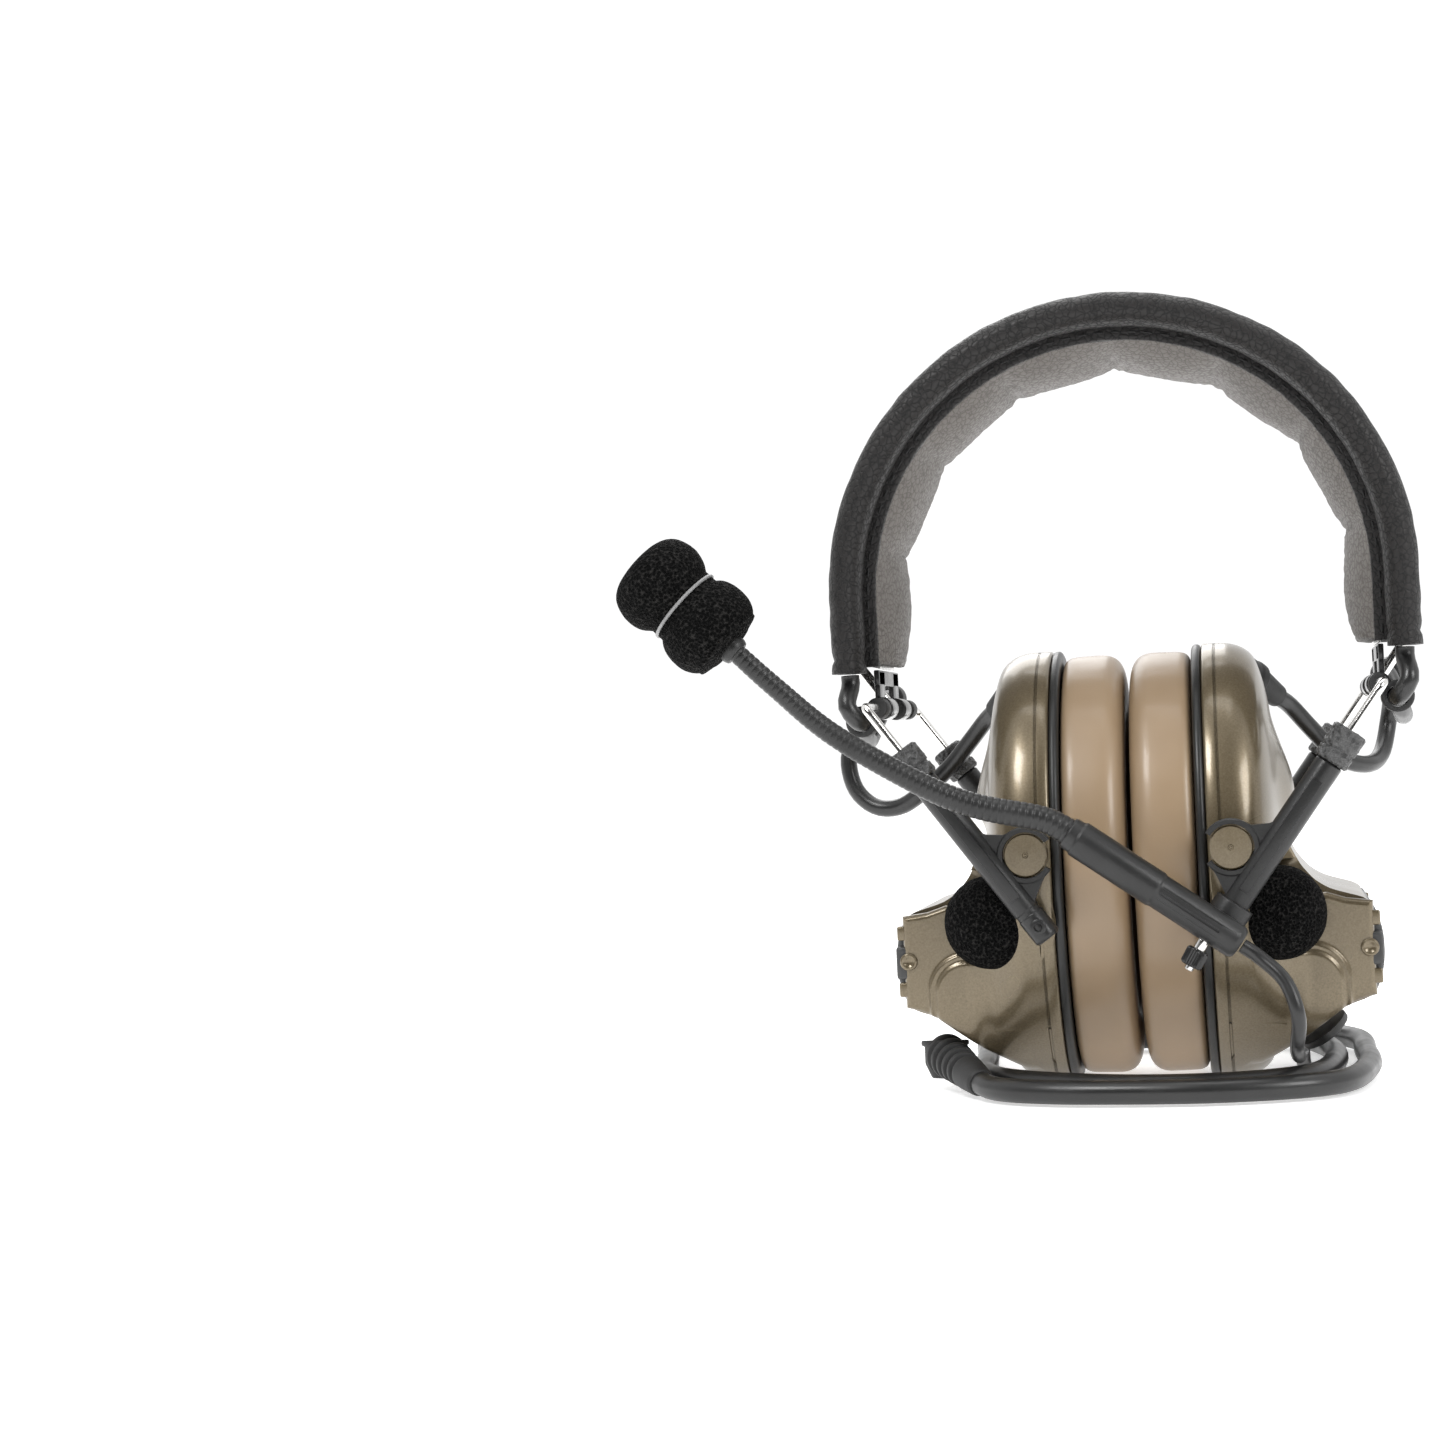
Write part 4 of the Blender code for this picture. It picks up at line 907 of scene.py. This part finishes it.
def make_headband():
    """Leather sleeve with its cable channel and seam, and the spring strip inside."""
    def puff(s, r, y):
        """The leather swells softly between its seams and puckers beside the stitches."""
        swell = 0.35 * noise.noise(Vector((s * 14, y * 0.05, 0.3))) if r > 56 else 0.0
        pucker = -0.28 * math.exp(-(((y - SEAM_Y - 1.2) / 1.6) ** 2)) * (0.6 + 0.4 * math.cos(s * 330))
        hem = -0.5 * math.exp(-((min(s, 1 - s) * STRAP_LENGTH - 3.0) / 0.8) ** 2)
        return swell + (pucker + hem if r > 56 else 0.0)

    strap = subdivided(rounded_section([(54.5, SEAM_Y + 0.2), (54.5, BAND_REAR), (BAND_OUT, BAND_REAR),
                                        (BAND_OUT, SEAM_Y + 0.2)], 1.1))
    outer = grid_mesh("strap", strap_rings(strap, BAND_END, relief=puff))
    middle = (CHANNEL_OUT + CHANNEL_IN) / 2
    half_r, half_y = (CHANNEL_OUT - CHANNEL_IN) / 2, (SEAM_Y - BAND_FRONT) / 2
    centre_y = (SEAM_Y + BAND_FRONT) / 2
    section = []
    power = 0.92
    for a in around(40):
        section.append((middle + half_r * math.copysign(abs(math.cos(a)) ** power, math.cos(a)),
                        centre_y + half_y * math.copysign(abs(math.sin(a)) ** power, math.sin(a))))

    def channel_relief(s, r, y):
        wrinkle = 0.22 * noise.noise(Vector((s * 60, y * 0.25, r * 0.2)))
        hem = -0.5 * math.exp(-((min(s, 1 - s) * CHANNEL_LENGTH - 3.0) / 0.8) ** 2)
        return (wrinkle + hem) * (1 if r > middle else -0.6)

    def flange_relief(s, r, y):
        return 0.12 * noise.noise(Vector((s * 90, y, r)))

    channel = grid_mesh("channel", strap_rings(section, CHANNEL_END, relief=channel_relief))
    bore = []
    for s in (0.0, 0.02, 0.04):
        bore.append([arch(s, middle + 2.5 * math.cos(a), centre_y + 2.5 * math.sin(a), CHANNEL_END - 2)
                     for a in around(24)])
    for flip in (1, -1):
        cut = grid_mesh("bore", [[(flip * x, y, z) for x, y, z in ring] for ring in bore])
        channel = combined(channel, cut)
    tail = subdivided(rounded_section([(52.6, SEAM_Y - 3.2), (52.6, SEAM_Y + 0.8), (56.9, SEAM_Y + 0.8),
                                       (56.9, SEAM_Y - 3.2)], 0.7))
    flange = grid_mesh("flange", strap_rings(tail, BAND_END - 0.6, relief=flange_relief))
    piece("headband_leather", joined("leather", [outer, channel, flange]), LEATHER, "headband",
          ["headband_sleeve"], angle=60)
    make_stitches()
    make_pad()
    spring = subdivided(rounded_section([(53.7, -12), (53.7, 12), (54.2, 12), (54.2, -12)], 0.2), 3)
    piece("headband_spring_strip", grid_mesh("spring", strap_rings(spring, BAND_END - 0.8, 120)), STEEL,
          "headband", ["headband_spring"])
    repaint("headband_cable", CORD)


def make_stitches():
    """Thread stitches along the seam beside the cable channel and round the hems."""
    stitches = []
    pitch, count = 3.6, 56
    for i in range(count):
        s = (i + 0.5) / count
        run = [arch(s + k * 0.3 * pitch / STRAP_LENGTH, BAND_OUT + lift, SEAM_Y + 1.25, BAND_END)
               for k, lift in ((-1.0, -0.35), (-0.6, 0.1), (0.6, 0.1), (1.0, -0.35))]
        stitches.append(swept_tube("stitch", run, 0.3, 8))
        run = [arch(s + k * 0.3 * pitch / STRAP_LENGTH, 54.2, SEAM_Y - 3.25 + lift, BAND_END)
               for k, lift in ((-1.0, 0.35), (-0.6, -0.1), (0.6, -0.1), (1.0, 0.35))]
        stitches.append(swept_tube("stitch", run, 0.22, 8))
    for end in (0.0085, 1 - 0.0085):
        for k in range(10):
            y = SEAM_Y + 4 + 3.6 * k
            run = [arch(end, BAND_OUT + lift - 0.2, y + dy, BAND_END) for dy, lift in
                   ((-1.2, -0.3), (-0.8, 0.1), (0.8, 0.1), (1.2, -0.3))]
            stitches.append(swept_tube("stitch", run, 0.26, 8))
    piece("headband_stitches", joined("stitches", stitches), THREAD, "headband")


def make_pad():
    """Inner pad: quilted in eight lobes, with creases where it folds round the arch."""
    lobes = 8
    low, high, back = SEAM_Y - 2.4, BAND_REAR - 0.3, 53.5

    def depth(y):
        return 1 - abs((2 * y - low - high) / (high - low)) ** 2.4

    def relief(s, r, y):
        if r > back - 0.15:
            return 0.0
        t = (s * lobes) % 1.0
        crease = abs(t - 0.5) * 2
        wrinkle = 0.7 * noise.noise(Vector((s * 120, y * 0.11, 2.0))) * (0.25 + crease ** 4)
        slack = 0.7 * noise.noise(Vector((s * 14, y * 0.06, 7.0)))
        return (1.6 - 2.5 * math.sin(math.pi * t) ** 0.65 + wrinkle + slack) * depth(y)

    across = np.linspace(low, high, 40)
    section = [(back - 0.4 - (back - 0.4 - BAND_IN) * depth(y), y) for y in across]
    section = section + [(back, high), (back, (low + high) / 2), (back, low)]
    pad = piece("headband_pad", grid_mesh("pad", strap_rings(section, BAND_END, 320, relief)), LINING,
                "headband", ["headband_foam"], angle=70)


# ---------------------------------------------------------------- left cup's buttons, socket and plug
def make_left_fittings():
    """Buttons, microphone socket, plug and cable of the left cup."""
    slope = Vector((BOX_X - 26.0, 0, BOX_LOW - 0.6)).normalized()
    normal = Vector((slope.z, 0, -slope.x))
    centre = Vector((38.6, -2.0, 9.1)) + normal * 0.05
    rings = []
    for depth, grow in ((-0.4, 0.0), (0.7, 0.0), (1.0, -0.25), (1.05, -0.7), (0.85, -1.2), (0.8, -4.5)):
        rings.append([centre + normal * depth + Vector((0, (16.5 + grow) * math.cos(a), 0)) +
                      slope * (5.7 + grow) * math.sin(a) for a in around(80)])
    piece("button_pad_skin", grid_mesh("pad", rings), RUBBER, "left_cup", ["left_button_pad"])
    for name, y in (("plus", -8.0), ("minus", 8.0)):
        spot = centre + Vector((0, y, 0)) + normal * 0.2
        profile = rounded([(0.3, 0.05), (0.3, 3.2), (1.2, 3.2), (1.5, 2.6), (1.35, 0.05)], 0.3)
        cap = turned("cap", spot, normal, profile, 40)
        marks = [box_mesh("bar", (-1.3, -0.25, -0.1), (1.3, 0.25, 0.15), 0.08, 2)]
        if name == "plus":
            marks.append(box_mesh("bar", (-0.25, -1.3, -0.1), (0.25, 1.3, 0.15), 0.08, 2))
        turn = Matrix((slope, Vector((0, 1, 0)), normal)).transposed().to_4x4()
        if name == "minus":
            turn = turn @ Matrix.Rotation(math.pi / 2, 4, "Z")
        for mark in marks:
            mark.transform(Matrix.Translation(spot + normal * 1.4) @ turn)
        piece(f"button_{name}_cap", joined("button", [cap] + marks), RUBBER, f"left_{name}",
              [f"left_button_{name}"])
    collar = rounded([(0, 0.05), (0, 6.6), (1.6, 6.6), (1.7, 6.2), (2.2, 6.2), (2.3, 6.6), (4.6, 6.6),
                      (5.2, 6.0), (5.2, 0.05)], 0.25)
    piece("mic_socket_collar", turned("collar", (37.0, BOX_REAR + 0.1, 32.0), (0, 1, 0), collar, 48), BLACK,
          "left_cup", ["left_mic_socket"])
    head = rounded([(0, 0.05), (0, 5.4), (0.6, 6.0), (8.0, 6.0), (9.3, 5.2), (9.4, 2.2), (8.9, 1.6),
                    (8.8, 0.05)], 0.4)
    parts = [turned("head", (37.0, 42.1, 32.0), (0, 1, 0), head, 56),
             box_mesh("neck", (32.4, 43.6, 24.5), (41.6, 51.0, 32), 1.2, 4)]
    relief = [(0, 4.0)]
    for k in range(5):
        at = 1.5 + 2.3 * k
        r = 4.0 - 0.34 * k
        relief += [(at, r), (at + 0.1, r - 0.7), (at + 0.8, r - 0.7), (at + 0.9, r)]
    relief += [(13.4, 2.2), (13.8, 2.0), (13.8, 0.05)]
    parts.append(turned("relief", (37.0, 47.5, 26.0), (0, 0, -1), rounded(relief, 0.15, 2), 36))
    plug = piece("mic_plug_body", joined("plug", parts), RUBBER, "left_cup", ["mic_plug"])
    run = smooth_route(MIC_CABLE_ROUTE, 1.5)
    cable = place(swept_tube("cable", run, MIC_CABLE_R, 20), "mic_cord", CORD)
    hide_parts("mic_cable")
    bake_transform(cable)


# ---------------------------------------------------------------- boom
def hose_radius(along):
    """The gooseneck narrows towards the microphone and has a fine groove between its coils."""
    pitch, groove_width, groove_depth = 1.4, 0.2, 0.11
    groove = math.exp(-(((along % pitch) - pitch / 2) / groove_width) ** 2)
    return 2.85 - 0.0095 * along - groove_depth * groove


def make_boom():
    """Holder on the left front arm, gooseneck, capsule and the two-lobed windscreen."""
    foot = on_arm(-14.0, -ARM_Y)
    collar = rounded([(0, 3.05), (0, 4.2), (1.2, 4.2), (1.4, 3.9), (2.0, 3.9), (2.2, 4.2), (10, 4.2),
                      (10, 3.05)], 0.3)
    start, end = Vector(HOLDER[0]), Vector(HOLDER[1])
    axis, length = (end - start).normalized(), (end - start).length
    bar = rounded([(0, 0.05), (0, 3.0), (1.0, 3.6), (19.6, 3.6), (20.2, 3.85), (length - 2.6, 3.85),
                   (length - 2.2, 3.5), (length - 0.3, 3.4), (length, 3.1), (length, 0.05)], 0.35)
    side = Vector((0, -1, 0))
    side = (side - side.dot(axis) * axis).normalized()
    other = axis.cross(side)
    to_bar = Matrix((axis, side, other)).transposed().to_4x4()
    holder = turned("bar", start, axis, bar, 56)
    for across in (-1.5, 0.0, 1.5):
        cut = box_mesh("cut", (5.0, 3.25, across - 0.32), (19.0, 6, across + 0.32), 0.15, 2)
        cut.transform(Matrix.Translation(start) @ to_bar)
        holder = combined(holder, cut)
    neck = box_mesh("lug", (-2.6, -8.4, -2.2), (2.6, -2.9, 2.2), 0.6, 3)
    neck.transform(Matrix.Translation(foot) @ Matrix.Rotation(ARM_TILT, 4, "Y"))
    mesh = joined("holder", [turned("collar", foot - 5.0 * ARM_DIR, ARM_DIR, collar, 48), holder, neck])
    piece("boom_holder_body", mesh, BLACK, "boom", ["boom_holder"])
    make_thumb_screw()
    route = smooth_route([(-7.0, -51.6, 52.6)] + GOOSENECK_ROUTE, 0.16)
    mesh = swept_tube("neck", route, hose_radius, 24)
    neck = place(mesh, "gooseneck_hose", BLACK, 70)
    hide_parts("gooseneck")
    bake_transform(neck)
    tip = Vector(GOOSENECK_ROUTE[-1])
    direction = MIC_DIR
    profile = rounded([(-0.6, 0.05), (-0.6, 2.7), (0.4, 3.1), (2.4, 3.1), (3.0, 2.6), (16, 2.6),
                       (16, 0.05)], 0.3)
    piece("boom_capsule", turned("capsule", tip, direction, profile, 40), BLACK, "boom_mic",
          ["boom_mic_capsule"])
    lobes = [(0.0, 3.0), (0.0, 5.4)]
    for middle, half, power in ((6.4, 6.4, 0.42), (19.6, 6.6, 0.5)):
        for i in range(-12, 13):
            a = math.pi / 2 * i / 12
            edge = 5.4 if middle < 10 and i < -8 else (8.2 if middle < 10 or i < 0 else 0.05)
            lobes.append((middle + half * math.sin(a), max(edge, 10.2 * max(math.cos(a), 0) ** power)))
    foam = foam_mesh("lobes", tip + 1.4 * direction, direction, filled_profile(lobes), 0.05, 96)
    piece("boom_foam", foam, FOAM, "boom_mic", ["boom_windscreen"], angle=80)
    side = side_of(direction)
    other = direction.cross(side)
    turns = [2 * math.pi * i / 48 for i in range(49)]
    ring = [tip + 14.3 * direction + 8.3 * (math.cos(a) * side + math.sin(a) * other) for a in turns]
    piece("boom_foam_ring", swept_tube("ring", ring, 0.38, 12), GREY, "boom_mic")


def side_of(direction):
    """A unit vector square to the direction."""
    return direction.orthogonal().normalized()


def make_thumb_screw():
    """Knurled screw that clamps the boom's holder."""
    start, direction = SCREW_AT, SCREW_DIR
    profile = rounded([(1.2, 0.05), (1.2, 1.9), (1.6, 2.3), (4.6, 2.3), (5.0, 1.9), (5.0, 1.0), (4.6, 0.8),
                       (4.6, 0.05)], 0.2)
    sides, groove_depth = 48, 0.22
    mesh = turned("screw", start, direction, profile, sides)
    for i, vert in enumerate(mesh.vertices):
        radial = off_axis(vert.co, start, direction)
        if radial.length > 2.0 and i % sides % 2:
            vert.co -= radial.normalized() * groove_depth
    piece("thumb_screw", mesh, SHINY, "boom_screw", ["boom_thumb_screw"], angle=30)
    stem = rounded([(-1.0, 0.05), (-1.0, 1.25), (1.25, 1.25), (1.25, 0.05)], 0.15)
    tip = rounded([(4.5, 0.05), (4.5, 0.95), (5.7, 0.95), (5.9, 0.7), (5.9, 0.05)], 0.1)
    piece("thumb_screw_stem", joined("stem", [turned("stem", start, direction, stem, 32),
                                              turned("tip", start, direction, tip, 32)]), STEEL, "boom_screw")


# ---------------------------------------------------------------- lead from the right cup
def make_lead():
    """Gland, lead and plug of the right cup."""
    root, end = Vector(GLAND_ROOT), Vector(DOWNLEAD_ROUTE[0])
    direction, length = (end - root).normalized(), (end - root).length
    profile = [(0, 0.05), (0, 4.6), (1.4, 4.7)]
    for k in range(5):
        at, r = 1.9 + 2.5 * k, 4.7 - 0.22 * k
        profile += [(at, r - 0.9), (at + 0.9, r - 0.95), (at + 1.1, r - 0.1), (at + 2.2, r - 0.15)]
    profile += [(length - 0.8, 3.1), (length, 2.75), (length, 0.05)]
    stub = rounded([(0, 0.05), (0, 5.2), (1.1, 5.2), (1.3, 4.5), (5.0, 4.5), (8.2, 3.0), (8.4, 0.05)], 0.4)
    parts = [turned("ribs", root, direction, rounded(profile, 0.25, 3), 48),
             turned("stub", (-42.6, -17.8, 10.4), (0, -0.1, -1), stub, 40)]
    gland = piece("cable_gland", joined("gland", parts), RUBBER, "right_cup",
                  ["right_cable_gland"])
    profile = rounded([(0, 2.55), (0.3, 3.2), (6, 4.4), (7, 4.8), (19.6, 4.8), (20.4, 4.3), (21, 3.7),
                       (24, 3.7), (24.1, 3.3), (24.6, 3.3), (24.7, 3.7), (31, 3.7), (31.1, 3.2),
                       (31.9, 3.2), (32, 3.6), (38.6, 3.5), (39.2, 2.3), (40.0, 2.4), (42.4, 2.6),
                       (44, 1.2), (44, 0.05)], 0.2)
    plug = piece("jack_plug", turned("plug", (16.0, 46.0, 5.1), (-1, 0, 0), profile, 48), BLACK, "right_cup",
                 ["downlead_plug"])
    run = smooth_route(DOWNLEAD_ROUTE, 2.2)
    cable = piece("downlead_cord", swept_tube("lead", run, DOWNLEAD_R, 22), CORD, "right_cup",
                  ["downlead_cable"])


# ---------------------------------------------------------------- studio
def make_studio():
    """Floor, soft lights, white surroundings and the camera."""
    bpy.ops.mesh.primitive_plane_add(size=6.0, location=(0, 0, -0.0003))
    floor = bpy.context.object
    floor.name = "floor"
    floor.data.materials.append(floor_material())
    world = bpy.data.worlds.new("studio")
    world.use_nodes = True
    nodes, links = world.node_tree.nodes, world.node_tree.links
    split = nodes.new("ShaderNodeSeparateXYZ")
    ramp = nodes.new("ShaderNodeValToRGB")
    ramp.color_ramp.elements[0].position, ramp.color_ramp.elements[1].position = 0.14, 0.46
    ramp.color_ramp.elements[0].color = (0.05, 0.05, 0.05, 1)
    ramp.color_ramp.elements[1].color = (1, 1, 1, 1)
    shift = nodes.new("ShaderNodeMath")
    shift.operation = "MULTIPLY_ADD"
    shift.inputs[1].default_value = shift.inputs[2].default_value = 0.5
    links.new(nodes.new("ShaderNodeTexCoord").outputs["Generated"], split.inputs[0])
    links.new(split.outputs["Y"], shift.inputs[0])
    links.new(shift.outputs[0], ramp.inputs["Fac"])
    links.new(ramp.outputs["Color"], nodes["Background"].inputs["Color"])
    nodes["Background"].inputs["Strength"].default_value = 1.05
    bpy.context.scene.world = world
    lamps = [("key", (-0.45, -0.7, 0.9), 0.35, 8), ("fill", (0.75, -0.6, 0.55), 0.4, 5),
             ("top", (0.05, 0.15, 1.1), 0.8, 5), ("back", (-0.2, 0.9, 0.7), 0.6, 3)]
    for name, spot, size, watts in lamps:
        light = bpy.data.lights.new(name, "AREA")
        light.energy, light.size = watts, size
        obj = bpy.data.objects.new(name, light)
        obj.location = spot
        obj.rotation_euler = (Vector((0, 0, 0.08)) - Vector(spot)).to_track_quat("-Z", "Y").to_euler()
        bpy.context.scene.collection.objects.link(obj)
    camera = bpy.data.cameras.new("camera")
    camera.lens, camera.sensor_width = 69.0, 36.0
    obj = bpy.data.objects.new("camera", camera)
    obj.location = in_frame((28.2, -620, 75))
    yaw, pitch, roll = (math.radians(v) for v in (10.98, 0.65, -2.72))
    turn = Matrix.Rotation(yaw, 4, "Z") @ Matrix.Rotation(math.pi / 2 + pitch, 4, "X")
    obj.rotation_euler = (turn @ Matrix.Rotation(roll, 4, "Z")).to_euler()
    bpy.context.scene.collection.objects.link(obj)
    bpy.context.scene.camera = obj
    bpy.context.scene.view_settings.view_transform = "Standard"


make_studio()
make_cup("left", 1)
make_cup("right", -1)
make_headband()
make_left_fittings()
make_boom()
make_lead()
